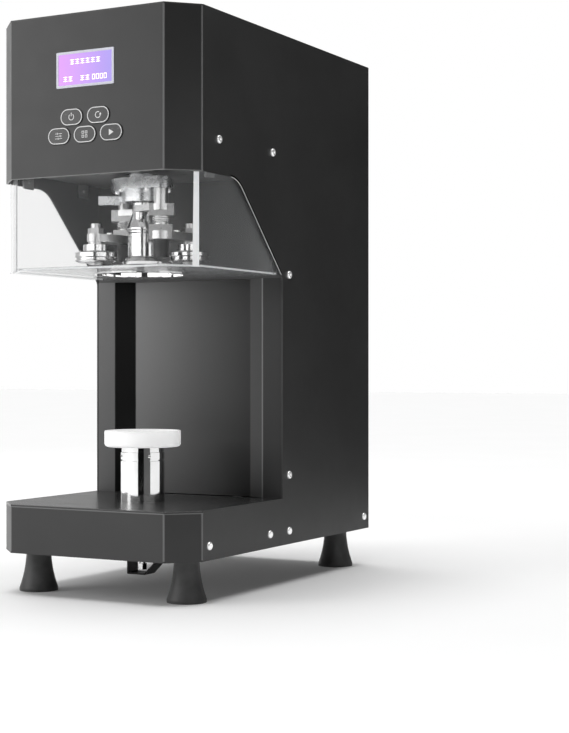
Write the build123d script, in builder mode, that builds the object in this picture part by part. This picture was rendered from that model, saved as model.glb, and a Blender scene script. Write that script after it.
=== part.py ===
"""Desktop can sealing machine: casing, fixed chuck, spinning turret with two seaming rolls, screw lift.

Frame: +Z up, the front faces -Y, origin on the floor under the middle of the machine.
"""

from build123d import *
from math import acos, cos, pi, radians, sin, sqrt, tan
import os

os.makedirs("parts", exist_ok=True)

# ---------------------------------------------------------------- driving dimensions, millimetres
body_width = 290.0
body_depth = 490.0
body_height = 658.0
foot_height = 52.0
base_height = 60.0
head_height = 197.0
corner_cut = 33.0  # 45 degree cut on both front corners
column_setback = 231.5  # front of the casing to the column
axis_setback = 125.5  # front of the casing to the chuck axis
slant = 116.0  # 45 degree stretch of each cheek, below the head
sheet = 2.0
bend_radius = 1.5  # inside of each bend in the sheet metal
deck_edge = 0.8  # rounding of the upper edges of the level plates
fit_gap = 0.3  # between pieces that move past each other
running_fit = 0.05  # radial, shaft in its bore
seat_gap = 0.02  # radial, pressed or threaded together

# Shared places
front_y = -body_depth / 2
rear_y = body_depth / 2
axis_y = front_y + axis_setback
column_y = front_y + column_setback
side_x = body_width / 2
inner_x = side_x - sheet
casing_bottom = foot_height
base_top = casing_bottom + base_height
casing_top = casing_bottom + body_height
head_bottom = casing_top - head_height
bend_end = corner_cut + sheet  # the front covers wrap this far back
slant_low = head_bottom - slant

low = (Align.CENTER, Align.CENTER, Align.MIN)
high = (Align.CENTER, Align.CENTER, Align.MAX)


def front_outline(inset, back_y):
    """Chamfered front outline, inset from the casing's faces, from back right round to back left."""
    cut = corner_cut + inset * (sqrt(2) - 1)
    right = [(side_x - inset, back_y), (side_x - inset, front_y + cut), (side_x - cut, front_y + inset)]
    return right + [(-x, y) for x, y in reversed(right)]


def wrapped_sheet(inset, thickness, back_y):
    """Closed outline of a sheet bent round the front: its outer line, then its inner line backwards."""
    return front_outline(inset, back_y) + list(reversed(front_outline(inset + thickness, back_y)))


def bend_corners(drawn, inset):
    """The four bends of the front outline at this inset, found in a sketch that has been drawn."""
    bends = front_outline(inset, 0)[1:-1]
    return [drawn.vertices().sort_by_distance((x, y, 0))[0] for x, y in bends]


def deck_outline(back_y):
    """Plate that covers the front wrap to its outer face and lies between the side panels behind it."""
    right = [(inner_x, back_y), (inner_x, front_y + bend_end), (side_x, front_y + bend_end)]
    right += [(side_x, front_y + corner_cut), (side_x - corner_cut, front_y)]
    return right + [(-x, y) for x, y in reversed(right)]


def turning_plane(x, y):
    """Upright plane through a vertical axis: local X is the radius, local Y is the height."""
    return Plane(origin=(x, y, 0), x_dir=(1, 0, 0), z_dir=(0, -1, 0))


def upright_axis(x, y):
    return Axis((x, y, 0), (0, 0, 1))


# ---------------------------------------------------------------- side panels
cheek_top_radius = 40.0
cheek_low_radius = 10.0
screw_shank_radius = 2.5
screw_hole_radius = 2.6
base_screw_height = casing_bottom + 17.5
head_screw_height = head_bottom + 42.0
upright_front_y = column_y + 4.5
upright_size = 20.0
column_screw_y = column_y + 17.5
wrap_screw_y = front_y + 48.5
panel_screws = [
    (front_y + 71.2, head_screw_height),
    (front_y + 204.7, head_screw_height),
    (column_screw_y, slant_low + 4.5),
    (column_screw_y, base_top + 30.0),
    (wrap_screw_y, base_screw_height),
    (front_y + 197.5, base_screw_height),
    (column_screw_y, base_screw_height),
    (rear_y - 16.3, base_screw_height),
]

cheek_outline = [
    (front_y + bend_end, casing_bottom),
    (rear_y, casing_bottom),
    (rear_y, casing_top),
    (front_y + bend_end, casing_top),
    (front_y + bend_end, head_bottom),
    (column_y - slant, head_bottom),
    (column_y, slant_low),
    (column_y, base_top),
    (front_y + bend_end, base_top),
]


for panel_name, panel_x in (("side_panel_right", inner_x), ("side_panel_left", -side_x)):
    with BuildPart() as side_panel:
        with BuildSketch(Plane.YZ.offset(panel_x)) as cheek:
            Polygon(*cheek_outline, align=None)
            fillet(cheek.vertices().sort_by_distance((column_y - slant, head_bottom, 0))[0], cheek_top_radius)
            fillet(cheek.vertices().sort_by_distance((column_y, slant_low, 0))[0], cheek_low_radius)
            with Locations(*panel_screws):
                Circle(screw_hole_radius, mode=Mode.SUBTRACT)
        extrude(amount=sheet)
    side_panel.part.label = panel_name
    export_step(side_panel.part, f"parts/{panel_name}.step")

# ---------------------------------------------------------------- head front cover, display and buttons
bezel_width = 84.0
bezel_height = 43.5
bezel_rim = 3.0
bezel_gap = 0.15
display_height = head_bottom + 128.5
button_width = 33.0
button_height = 21.0
upper_row_height = head_bottom + 71.0
lower_row_height = head_bottom + 49.0
upper_row_step = 19.5
lower_row_step = 38.2
button_places = {
    "button_power": (-upper_row_step, upper_row_height),
    "button_reset": (upper_row_step, upper_row_height),
    "button_set": (-lower_row_step, lower_row_height),
    "button_mode": (0.0, lower_row_height),
    "button_start": (lower_row_step, lower_row_height),
}
button_corner = button_height / 2 - 0.01
flange_start = corner_cut - sheet  # tucked return, measured from the front
flange_end = 51.0

with BuildPart() as head_front_cover:
    with BuildSketch(Plane.XY.offset(head_bottom)) as wrap:
        with BuildLine():
            Polyline(*wrapped_sheet(0, sheet, front_y + bend_end), close=True)
        make_face()
        fillet(bend_corners(wrap, 0), bend_radius + sheet)
        fillet(bend_corners(wrap, sheet), bend_radius)
        with Locations((inner_x - sheet / 2, front_y + (flange_start + flange_end) / 2)):
            Rectangle(sheet, flange_end - flange_start)
        with Locations((sheet / 2 - inner_x, front_y + (flange_start + flange_end) / 2)):
            Rectangle(sheet, flange_end - flange_start)
    extrude(amount=head_height - sheet)
    with BuildSketch(Plane.XZ.offset(-front_y)):
        with Locations((0, display_height)):
            Rectangle(bezel_width + 2 * bezel_gap, bezel_height + 2 * bezel_gap)
        with Locations(*button_places.values()):
            RectangleRounded(button_width + 2 * fit_gap, button_height + 2 * fit_gap, button_corner)
    extrude(amount=-sheet, mode=Mode.SUBTRACT)
head_front_cover.part.label = "head_front_cover"
export_step(head_front_cover.part, "parts/head_front_cover.step")

bezel_proud = 0.6
bezel_depth = 4.6
screen_inset = 0.1
with BuildPart() as display_bezel:
    with BuildSketch(Plane.XZ.offset(bezel_proud - front_y)):
        with Locations((0, display_height)):
            RectangleRounded(bezel_width, bezel_height, 1.5)
            Rectangle(bezel_width - 2 * bezel_rim, bezel_height - 2 * bezel_rim, mode=Mode.SUBTRACT)
    extrude(amount=-bezel_depth)
display_bezel.part.label = "display_bezel"
export_step(display_bezel.part, "parts/display_bezel.step")

screen_thickness = 3.0
with BuildPart() as display_screen:
    with BuildSketch(Plane.XZ.offset(-front_y)):
        with Locations((0, display_height)):
            Rectangle(
                bezel_width - 2 * bezel_rim - 2 * screen_inset,
                bezel_height - 2 * bezel_rim - 2 * screen_inset,
            )
    extrude(amount=-screen_thickness)
display_screen.part.label = "display_screen"
export_step(display_screen.part, "parts/display_screen.step")

button_proud = 1.2
button_travel = 0.8
button_flange = 1.2
button_lip = 1.6  # how far the flange reaches past the cap at each end
button_rim = 0.4  # how much taller the flange is than the cap
button_stem_radius = 3.0
button_stem_end = 6.0  # behind the front face
for button_name, (button_x, button_z) in button_places.items():
    with BuildPart() as button:
        with BuildSketch(Plane.XZ.offset(button_proud - front_y)):
            with Locations((button_x, button_z)):
                RectangleRounded(button_width, button_height, button_corner)
        extrude(amount=-(button_proud + sheet + fit_gap))
        fillet(button.faces().sort_by(Axis.Y)[0].edges(), 0.5)
        with BuildSketch(Plane.XZ.offset(-front_y - sheet - fit_gap)):
            with Locations((button_x, button_z)):
                RectangleRounded(button_width + 2 * button_lip, button_height + button_rim, button_corner)
        extrude(amount=-button_flange)
        with BuildSketch(Plane.XZ.offset(-front_y - sheet)):
            with Locations((button_x, button_z)):
                Circle(button_stem_radius)
        extrude(amount=-(button_stem_end - sheet))
    button.part.label = button_name
    export_step(button.part, f"parts/{button_name}.step")

board_setback = 14.0
board_thickness = 1.6
board_half_width = 62.0
board_low = head_bottom + 26.0
board_high = head_bottom + 160.0
standoff_radius = 3.0
standoff_inset = 6.0
key_size = 6.0
key_body_depth = 5.0
key_gap = 0.3  # left when the button is fully pressed
key_tip = board_setback - button_stem_end - button_travel - key_gap
display_module_width = 88.0
display_module_height = 50.0
with BuildPart() as front_board:
    # Printed board
    with Locations((0, front_y + board_setback + board_thickness / 2, (board_low + board_high) / 2)):
        Box(2 * board_half_width, board_thickness, board_high - board_low)
    # Display module between the bezel and the board
    with Locations((0, front_y + (bezel_depth - bezel_proud + board_setback) / 2, display_height)):
        Box(display_module_width, board_setback - bezel_depth + bezel_proud, display_module_height)
    # One key switch behind each button
    for button_x, button_z in button_places.values():
        with Locations((button_x, front_y + board_setback - key_body_depth / 2, button_z)):
            Box(key_size, key_body_depth, key_size)
        with Locations((button_x, front_y + board_setback - key_tip / 2, button_z)):
            Cylinder(1.75, key_tip, rotation=(90, 0, 0))
    # Standoffs to the back of the cover
    for side in (1, -1):
        for standoff_z in (board_low + standoff_inset, board_high - standoff_inset):
            standoff_x = side * (board_half_width - standoff_inset)
            with Locations((standoff_x, front_y + (sheet + board_setback) / 2, standoff_z)):
                Cylinder(standoff_radius, board_setback - sheet, rotation=(90, 0, 0))
front_board.part.label = "front_board"
export_step(front_board.part, "parts/front_board.step")

# ---------------------------------------------------------------- top, rear and base covers
with BuildPart() as top_cover:
    with BuildSketch(Plane.XY.offset(casing_top - sheet)) as deck:
        with BuildLine():
            Polyline(*deck_outline(rear_y), close=True)
        make_face()
        fillet(bend_corners(deck, 0), bend_radius)
    extrude(amount=sheet)
    fillet(top_cover.faces().sort_by(Axis.Z)[-1].outer_wire().edges(), deck_edge)
top_cover.part.label = "top_cover"
export_step(top_cover.part, "parts/top_cover.step")

inlet_x = 72.0
inlet_height = casing_bottom + 120.0
inlet_width = 46.0
inlet_tall = 66.0
vent_length = 70.0
vent_slot = 5.0
vent_step_x = 90.0
vent_step_z = 14.0
vent_rows = 9
upper_vent_height = head_bottom - 90.0
lower_vent_height = casing_bottom + 120.0
with BuildPart() as rear_cover:
    with Locations((0, rear_y - sheet / 2, (casing_bottom + casing_top - sheet) / 2)):
        Box(2 * inner_x, sheet, body_height - sheet)
    with BuildSketch(Plane.XZ.offset(-rear_y)):
        with Locations((0, upper_vent_height)):
            with GridLocations(vent_step_x, vent_step_z, 2, vent_rows):
                SlotOverall(vent_length, vent_slot)
        with Locations((-vent_step_x / 2, lower_vent_height)):
            with GridLocations(vent_step_x, vent_step_z, 1, vent_rows):
                SlotOverall(vent_length, vent_slot)
        with Locations((inlet_x, inlet_height)):
            Rectangle(inlet_width + 2 * bezel_gap, inlet_tall + 2 * bezel_gap)
    extrude(amount=sheet, mode=Mode.SUBTRACT, both=True)
rear_cover.part.label = "rear_cover"
export_step(rear_cover.part, "parts/rear_cover.step")

base_flange_end = 60.0
with BuildPart() as base_front_cover:
    with BuildSketch(Plane.XY.offset(casing_bottom + sheet)) as wrap:
        with BuildLine():
            Polyline(*wrapped_sheet(0, sheet, front_y + bend_end), close=True)
        make_face()
        fillet(bend_corners(wrap, 0), bend_radius + sheet)
        fillet(bend_corners(wrap, sheet), bend_radius)
        with Locations((inner_x - sheet / 2, front_y + (flange_start + base_flange_end) / 2)):
            Rectangle(sheet, base_flange_end - flange_start)
        with Locations((sheet / 2 - inner_x, front_y + (flange_start + base_flange_end) / 2)):
            Rectangle(sheet, base_flange_end - flange_start)
    extrude(amount=base_height - 2 * sheet)
    with Locations((0, wrap_screw_y, base_screw_height)):
        Cylinder(screw_hole_radius, body_width, rotation=(0, 90, 0), mode=Mode.SUBTRACT)
base_front_cover.part.label = "base_front_cover"
export_step(base_front_cover.part, "parts/base_front_cover.step")

tube_radius = 27.75
panel_gap = 0.5
with BuildPart() as base_top_plate:
    with BuildSketch(Plane.XY.offset(base_top - sheet)) as deck:
        with BuildLine():
            Polyline(*deck_outline(column_y + sheet), close=True)
        make_face()
        fillet(bend_corners(deck, 0), bend_radius)
        with Locations((0, axis_y)):
            Circle(tube_radius + panel_gap, mode=Mode.SUBTRACT)
    extrude(amount=sheet)
    fillet(base_top_plate.faces().sort_by(Axis.Z)[-1].outer_wire().edges(), deck_edge)
base_top_plate.part.label = "base_top_plate"
export_step(base_top_plate.part, "parts/base_top_plate.step")

# ---------------------------------------------------------------- feet and their bolts
foot_inset_x = 35.0
foot_front_y = front_y + 54.4
foot_rear_y = rear_y - 36.2
foot_base_radius = 24.2
foot_top_radius = 15.4
foot_rim = 3.5
foot_bolt_radius = 4.0
foot_bolt_bite = 30.0
foot_places = [(side * (side_x - foot_inset_x), y) for side in (1, -1) for y in (foot_front_y, foot_rear_y)]

with BuildPart() as rubber_foot:
    with BuildSketch(Plane.XZ):
        with BuildLine():
            Polyline(
                (foot_top_radius, foot_height),
                (0, foot_height),
                (0, 0),
                (foot_base_radius, 0),
                (foot_base_radius, foot_rim),
            )
            ThreePointArc(
                (foot_base_radius, foot_rim),
                (foot_top_radius + 2.6, foot_height * 0.5),
                (foot_top_radius, foot_height),
            )
        make_face()
    revolve(axis=Axis.Z)
    with Locations((0, 0, foot_height)):
        Cylinder(foot_bolt_radius + seat_gap, foot_bolt_bite + 1.0, align=high, mode=Mode.SUBTRACT)

with BuildPart() as rubber_feet:
    with Locations(*foot_places):
        add(rubber_foot.part)
rubber_feet.part.label = "rubber_feet"
export_step(rubber_feet.part, "parts/rubber_feet.step")

screw_radius = 6.0
screw_clear_radius = 9.0
with BuildPart() as base_bottom_plate:
    with BuildSketch(Plane.XY.offset(casing_bottom)) as deck:
        with BuildLine():
            Polyline(*deck_outline(rear_y - sheet), close=True)
        make_face()
        fillet(bend_corners(deck, 0), bend_radius)
        with Locations(*foot_places):
            Circle(foot_bolt_radius + 0.2, mode=Mode.SUBTRACT)
        with Locations((0, axis_y)):
            Circle(screw_clear_radius, mode=Mode.SUBTRACT)
    extrude(amount=sheet)
base_bottom_plate.part.label = "base_bottom_plate"
export_step(base_bottom_plate.part, "parts/base_bottom_plate.step")

# ---------------------------------------------------------------- column panel and chamber back wall
margin_edge = 115.0
recess_edge = 90.0
recess_depth = 13.0
with BuildPart() as column_panel:
    half = [(inner_x - panel_gap, 0), (margin_edge, 0), (recess_edge, recess_depth)]
    front_line = [(x, column_y + y) for x, y in half] + [(-x, column_y + y) for x, y in reversed(half)]
    back_line = [(x, y + sheet) for x, y in reversed(front_line)]
    with BuildSketch(Plane.XY.offset(base_top)):
        with BuildLine():
            Polyline(*front_line, *back_line, close=True)
        make_face()
    extrude(amount=slant_low - base_top)
column_panel.part.label = "column_panel"
export_step(column_panel.part, "parts/column_panel.step")

frame_plate_low = head_bottom + 14.0
frame_plate_thickness = 8.0
frame_plate_top = frame_plate_low + frame_plate_thickness
with BuildPart() as chamber_back_wall:
    with BuildSketch(Plane.XY.offset(slant_low)):
        with Locations((0, column_y + sheet / 2)):
            Rectangle(2 * (inner_x - panel_gap), sheet)
    extrude(amount=frame_plate_low - slant_low)
    # Lid that closes the top of the recess below
    with Locations((0, column_y + (recess_depth + 2 * sheet) / 2, slant_low)):
        Box(2 * margin_edge, recess_depth + 2 * sheet, sheet, align=low)
chamber_back_wall.part.label = "chamber_back_wall"
export_step(chamber_back_wall.part, "parts/chamber_back_wall.step")

# ---------------------------------------------------------------- frame: rails, uprights, head plate
rail_leg = 20.0
rail_wall = 2.5
head_rail_height = 32.0
head_rail_start = front_y + 58.0
head_rail_end = column_y
base_rail_start = front_y + base_flange_end + 2.0
upright_rear_y = rear_y - 50.0
with BuildPart() as frame_rails:
    for side in (1, -1):
        # Angle rails on the bottom plate, in front of, between and behind the uprights
        rail_spans = [
            (base_rail_start, upright_front_y - 1.0),
            (upright_front_y + upright_size + 1.0, upright_rear_y - 1.0),
            (upright_rear_y + upright_size + 1.0, rear_y - 4.0),
        ]
        for span_start, span_end in rail_spans:
            with BuildSketch(Plane.XZ.offset(-span_start)):
                with Locations((side * (inner_x - rail_wall / 2), casing_bottom + sheet + 12.5)):
                    Rectangle(rail_wall, 25.0)
                with Locations((side * (inner_x - rail_leg / 2), casing_bottom + sheet + rail_wall / 2)):
                    Rectangle(rail_leg, rail_wall)
            extrude(amount=-(span_end - span_start))
        # Angle rail on the head plate
        with BuildSketch(Plane.XZ.offset(-head_rail_start)):
            with Locations((side * (inner_x - rail_wall / 2), frame_plate_top + head_rail_height / 2)):
                Rectangle(rail_wall, head_rail_height)
            with Locations((side * (inner_x - rail_leg / 2), frame_plate_top + rail_wall / 2)):
                Rectangle(rail_leg, rail_wall)
        extrude(amount=-(head_rail_end - head_rail_start))
        # Square tube uprights from the bottom plate to the head plate
        for upright_y in (upright_front_y, upright_rear_y):
            with BuildSketch(Plane.XY.offset(casing_bottom + sheet)):
                with Locations((side * (inner_x - upright_size / 2), upright_y + upright_size / 2)):
                    Rectangle(upright_size, upright_size)
                    Rectangle(upright_size - 2 * rail_wall, upright_size - 2 * rail_wall, mode=Mode.SUBTRACT)
            extrude(amount=frame_plate_low - casing_bottom - sheet)
        # Holes for the casing screws
        for screw_y, screw_z in panel_screws:
            with Locations((side * (inner_x - rail_wall), screw_y, screw_z)):
                Cylinder(screw_hole_radius, 3 * rail_wall, rotation=(0, 90, 0), mode=Mode.SUBTRACT)
frame_rails.part.label = "frame_rails"
export_step(frame_rails.part, "parts/frame_rails.step")

guard_inset = 4.5
guard_thickness = 4.0
plate_inset = guard_inset + guard_thickness + 1.0
motor_y = column_y + 108.5
housing_flange_radius = 60.0
housing_bolt_circle = 53.0
housing_bolt_radius = 3.0
shaft_passage_radius = 20.0
guard_tab = (2.5, 20.0, 20.0)
guard_tab_step = 60.0
guard_screw_rise = 5.0  # above the head's lower edge, out of sight
guard_screw_radius = 2.0
guard_screw_length = 9.0
guard_tab_x = side_x - guard_inset - guard_thickness
with BuildPart() as head_frame_plate:
    with BuildSketch(Plane.XY.offset(frame_plate_low)):
        with BuildLine():
            Polyline(*front_outline(plate_inset, upright_rear_y + upright_size), close=True)
        make_face()
        with Locations((0, axis_y), (0, motor_y)):
            Circle(shaft_passage_radius, mode=Mode.SUBTRACT)
        with Locations((0, axis_y)):
            with PolarLocations(housing_bolt_circle, 6, start_angle=30):
                Circle(housing_bolt_radius + 0.1, mode=Mode.SUBTRACT)
    extrude(amount=frame_plate_thickness)
    # Tabs that the guard screws to
    for side in (1, -1):
        for tab_y in (axis_y - guard_tab_step, axis_y + guard_tab_step):
            tab_x = side * (guard_tab_x - guard_tab[0] / 2 - 0.1)
            with Locations((tab_x, tab_y, frame_plate_low + 2.0)):
                Box(*guard_tab, align=high)
            with Locations((tab_x, tab_y, head_bottom + guard_screw_rise)):
                Cylinder(guard_screw_radius + 0.1, 6.0, rotation=(0, 90, 0), mode=Mode.SUBTRACT)
head_frame_plate.part.label = "head_frame_plate"
export_step(head_frame_plate.part, "parts/head_frame_plate.step")

# ---------------------------------------------------------------- screws and bolts
screw_head_radius = 5.0
screw_head_height = 2.6
screw_length = 8.0
with BuildPart() as button_screw:
    Cylinder(screw_head_radius, screw_head_height, align=low)
    fillet(button_screw.edges().group_by(Axis.Z)[-1], 1.8)
    Cylinder(screw_shank_radius, screw_length, align=high)
    with BuildSketch(Plane.XY.offset(screw_head_height)):
        RegularPolygon(1.6, 6)
    extrude(amount=-1.7, mode=Mode.SUBTRACT)

with BuildPart() as casing_screws:
    for side in (1, -1):
        for screw_y, screw_z in panel_screws:
            seat = Plane((side * side_x, screw_y, screw_z), x_dir=(0, side, 0), z_dir=(side, 0, 0))
            with Locations(seat):
                add(button_screw.part)
casing_screws.part.label = "casing_screws"
export_step(casing_screws.part, "parts/casing_screws.step")

foot_bolt_head = 5.5
housing_flange_top = frame_plate_top + 8.0
with BuildPart() as frame_bolts:
    # Foot bolts, heads on the bottom plate
    with Locations(*[(x, y, casing_bottom + sheet) for x, y in foot_places]):
        Cylinder(foot_bolt_radius, foot_bolt_bite + sheet, align=high)
    with BuildSketch(Plane.XY.offset(casing_bottom + sheet)):
        with Locations(*foot_places):
            RegularPolygon(7.0, 6)
    extrude(amount=foot_bolt_head)
    # Spindle housing bolts, down through the head plate
    with Locations((0, axis_y, housing_flange_top)):
        with PolarLocations(housing_bolt_circle, 6, start_angle=30):
            Cylinder(housing_bolt_radius, 14.0, align=high)
            Cylinder(5.0, 6.0, align=low)
    # Screws through the guard into the tabs of the head plate
    for side in (1, -1):
        for tab_y in (axis_y - guard_tab_step, axis_y + guard_tab_step):
            guard_face_x = side * (side_x - guard_inset)
            guard_screw_z = head_bottom + guard_screw_rise
            seat = Plane((guard_face_x, tab_y, guard_screw_z), x_dir=(0, side, 0), z_dir=(side, 0, 0))
            with Locations(seat):
                Cylinder(guard_screw_radius, guard_screw_length, align=high)
                Cylinder(3.6, 1.8, align=low)
frame_bolts.part.label = "frame_bolts"
export_step(frame_bolts.part, "parts/frame_bolts.step")

# ---------------------------------------------------------------- clear guard and guide ring
guard_floor_top = head_bottom - 109.0
guard_floor_thickness = 4.0
guard_floor_low = guard_floor_top - guard_floor_thickness
guard_tuck = 20.0  # how far the walls reach up inside the head
guard_back_y = column_y - panel_gap
guard_bend_radius = 3.0
ring_bore_radius = 52.5
ring_collar_radius = 55.5
ring_flange_radius = 61.0
ring_flange_thickness = 1.2
ring_rise = 1.5

with BuildPart() as guard_shell:
    with BuildSketch(Plane.XY.offset(guard_floor_low)) as wall:
        with BuildLine():
            Polyline(*wrapped_sheet(guard_inset, guard_thickness, guard_back_y), close=True)
        make_face()
        fillet(bend_corners(wall, guard_inset), guard_bend_radius + guard_thickness)
        fillet(bend_corners(wall, guard_inset + guard_thickness), guard_bend_radius)
    extrude(amount=head_bottom + guard_tuck - guard_floor_low)
    for tab_y in (axis_y - guard_tab_step, axis_y + guard_tab_step):
        with Locations((0, tab_y, head_bottom + guard_screw_rise)):
            Cylinder(guard_screw_radius + 0.1, body_width, rotation=(0, 90, 0), mode=Mode.SUBTRACT)
guard_shell.part.label = "guard_shell"
export_step(guard_shell.part, "parts/guard_shell.step")

with BuildPart() as guard_floor:
    with BuildSketch(Plane.XY.offset(guard_floor_low)) as floor_plate:
        with BuildLine():
            Polyline(*front_outline(guard_inset + guard_thickness, guard_back_y), close=True)
        make_face()
        fillet(bend_corners(floor_plate, guard_inset + guard_thickness), guard_bend_radius)
        with Locations((0, axis_y)):
            Circle(ring_collar_radius + seat_gap, mode=Mode.SUBTRACT)
    extrude(amount=guard_floor_thickness)
guard_floor.part.label = "guard_floor"
export_step(guard_floor.part, "parts/guard_floor.step")

with BuildPart() as guide_ring:
    with BuildSketch(turning_plane(0, axis_y)):
        with BuildLine():
            Polyline(
                (ring_bore_radius, guard_floor_low - ring_flange_thickness),
                (ring_flange_radius, guard_floor_low - ring_flange_thickness),
                (ring_flange_radius, guard_floor_low),
                (ring_collar_radius, guard_floor_low),
                (ring_collar_radius, guard_floor_top + ring_rise),
                (ring_bore_radius, guard_floor_top + ring_rise),
                close=True,
            )
        make_face()
    revolve(axis=upright_axis(0, axis_y))
guide_ring.part.label = "guide_ring"
export_step(guide_ring.part, "parts/guide_ring.step")

# ---------------------------------------------------------------- fixed spindle, ring nuts and chuck
spindle_radius = 10.0
chuck_low = guard_floor_top + 7.7
chuck_flange_radius = 26.25
chuck_flange_height = 10.3
chuck_body_radius = 19.0
chuck_top = chuck_low + 35.3
ring_nut_radius = 19.5
ring_nut_levels = ((0.3, 3.6), (5.4, 7.2))  # above the chuck
ring_nut_top = chuck_top + ring_nut_levels[-1][1]
bridge_plate_low = frame_plate_top + 97.0
bridge_thickness = 8.0
bridge_top = bridge_plate_low + bridge_thickness
bridge_leg_x = 76.0
bridge_foot = 20.0
bridge_width = 30.0
actuator_x = 40.0
rod_radius = 4.0

with BuildPart() as chuck_spindle:
    with Locations((0, axis_y, chuck_low + chuck_flange_height)):
        Cylinder(spindle_radius, bridge_top + 12.0 - chuck_low - chuck_flange_height, align=low)
    # Top nut on the bridge
    with BuildSketch(Plane.XY.offset(bridge_top)):
        with Locations((0, axis_y)):
            RegularPolygon(16.0, 6)
    extrude(amount=10.0)
    # Two locked ring nuts above the chuck
    for nut_low, nut_high in ring_nut_levels:
        with Locations((0, axis_y, chuck_top + nut_low)):
            Cylinder(ring_nut_radius, nut_high - nut_low, align=low)
chuck_spindle.part.label = "chuck_spindle"
export_step(chuck_spindle.part, "parts/chuck_spindle.step")

with BuildPart() as seaming_chuck:
    with BuildSketch(turning_plane(0, axis_y)):
        with BuildLine():
            Polyline(
                (0, chuck_low),
                (chuck_flange_radius - 1.5, chuck_low),
                (chuck_flange_radius, chuck_low + 3.5),
                (chuck_flange_radius - 2.5, chuck_low + chuck_flange_height - 3.0),
                (chuck_body_radius, chuck_low + chuck_flange_height),
                (chuck_body_radius, chuck_top),
                (spindle_radius + seat_gap, chuck_top),
                (spindle_radius + seat_gap, chuck_low + chuck_flange_height),
                (0, chuck_low + chuck_flange_height),
                close=True,
            )
        make_face()
    revolve(axis=upright_axis(0, axis_y))
seaming_chuck.part.label = "seaming_chuck"
export_step(seaming_chuck.part, "parts/seaming_chuck.step")

with BuildPart() as spindle_bridge:
    leg_outer = bridge_leg_x + bridge_thickness / 2
    leg_inner = bridge_leg_x - bridge_thickness / 2
    hat_half = [
        (leg_outer + bridge_foot, frame_plate_top),
        (leg_outer + bridge_foot, frame_plate_top + 6.0),
        (leg_outer, frame_plate_top + 6.0),
        (leg_outer, bridge_top),
    ]
    hat_inner = [(leg_inner, frame_plate_top), (leg_inner, bridge_plate_low)]
    with BuildSketch(Plane.XZ.offset(-axis_y)):
        with BuildLine():
            Polyline(
                *hat_half,
                *[(-x, z) for x, z in reversed(hat_half)],
                *[(-x, z) for x, z in hat_inner],
                *reversed(hat_inner),
                close=True,
            )
        make_face()
    extrude(amount=bridge_width / 2, both=True)
    with Locations((0, axis_y, bridge_top)):
        Cylinder(spindle_radius + seat_gap, bridge_thickness, align=high, mode=Mode.SUBTRACT)
    with Locations((actuator_x, axis_y, bridge_top)):
        Cylinder(rod_radius + fit_gap, bridge_thickness, align=high, mode=Mode.SUBTRACT)
spindle_bridge.part.label = "spindle_bridge"
export_step(spindle_bridge.part, "parts/spindle_bridge.step")

# ---------------------------------------------------------------- cam cone that swings the arms, its yoke and actuator
cone_stroke = 10.0
cone_slope = 0.41  # radius gained for each millimetre down
cone_sleeve_radius = 13.5
cone_low = ring_nut_top + 1.6
follower_radius = 6.0
follower_low = head_bottom - 45.0
follower_height = 8.0
cone_contact_radius = 16.8  # where the followers' lower edges touch at rest
cone_base_height = follower_low - cone_stroke
cone_base_radius = cone_contact_radius + cone_slope * cone_stroke
cone_neck_height = follower_low + (cone_contact_radius - cone_sleeve_radius) / cone_slope
yoke_low = frame_plate_top + 75.0
yoke_thickness = 6.0

with BuildPart() as cam_cone:
    with BuildSketch(turning_plane(0, axis_y)):
        with BuildLine():
            Polyline(
                (spindle_radius + running_fit, cone_low),
                (cone_base_radius, cone_low),
                (cone_base_radius, cone_base_height),
                (cone_sleeve_radius, cone_neck_height),
                (cone_sleeve_radius, yoke_low + yoke_thickness + 2.0),
                (spindle_radius + running_fit, yoke_low + yoke_thickness + 2.0),
                close=True,
            )
        make_face()
    revolve(axis=upright_axis(0, axis_y))
cam_cone.part.label = "cam_cone"
export_step(cam_cone.part, "parts/cam_cone.step")

rod_reach = 25.0  # of the actuator rod above the bridge, at rest
with BuildPart() as shift_yoke:
    with BuildSketch(Plane.XY.offset(yoke_low)):
        with Locations((0, axis_y)):
            Circle(22.0)
        with Locations((actuator_x, axis_y)):
            Circle(9.0)
        make_hull()
        with Locations((0, axis_y)):
            Circle(cone_sleeve_radius + seat_gap, mode=Mode.SUBTRACT)
    extrude(amount=yoke_thickness)
    with Locations((actuator_x, axis_y, yoke_low)):
        Cylinder(rod_radius, bridge_top + rod_reach - yoke_low, align=low)
shift_yoke.part.label = "shift_yoke"
export_step(shift_yoke.part, "parts/shift_yoke.step")

actuator_radius = 16.0
actuator_height = casing_top - sheet - 4.0 - bridge_top
with BuildPart() as cone_actuator:
    with Locations((actuator_x, axis_y, bridge_top)):
        Cylinder(actuator_radius, actuator_height, align=low)
        Cylinder(rod_radius + running_fit, rod_reach + cone_stroke + 2.0, align=low, mode=Mode.SUBTRACT)
cone_actuator.part.label = "cone_actuator"
export_step(cone_actuator.part, "parts/cone_actuator.step")

# ---------------------------------------------------------------- turret: flanged hollow spindle, bearings, pulley
turret_bore_radius = cone_sleeve_radius + fit_gap
turret_shaft_radius = 17.5
turret_plate_low = head_bottom - 8.0
turret_plate_top = turret_plate_low + 14.0
hub_low = head_bottom - 22.2
hub_radius = 30.0
hub_bore_radius = 22.0
turret_plate_radius = 40.0
roll_angle = 28.0  # of the first roll round the chuck axis, at rest
roll_orbit = 60.0
pivot_orbit = 49.8
pivot_lag = -57.5  # angle from each roll to its pivot
pivot_lobe_radius = 13.0
pivot_pin_radius = 5.0
bearing_width = 17.0
bearing_outer_radius = 36.0
inner_race_radius = 23.5
outer_race_radius = 30.0
ball_orbit = (inner_race_radius + outer_race_radius) / 2
ball_radius = 5.5
ball_count = 10
lower_bearing = frame_plate_top + 1.0
upper_bearing = lower_bearing + bearing_width + 5.0
housing_top = upper_bearing + bearing_width + 2.0
housing_radius = 44.0
pulley_low = housing_top + 2.0
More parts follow.
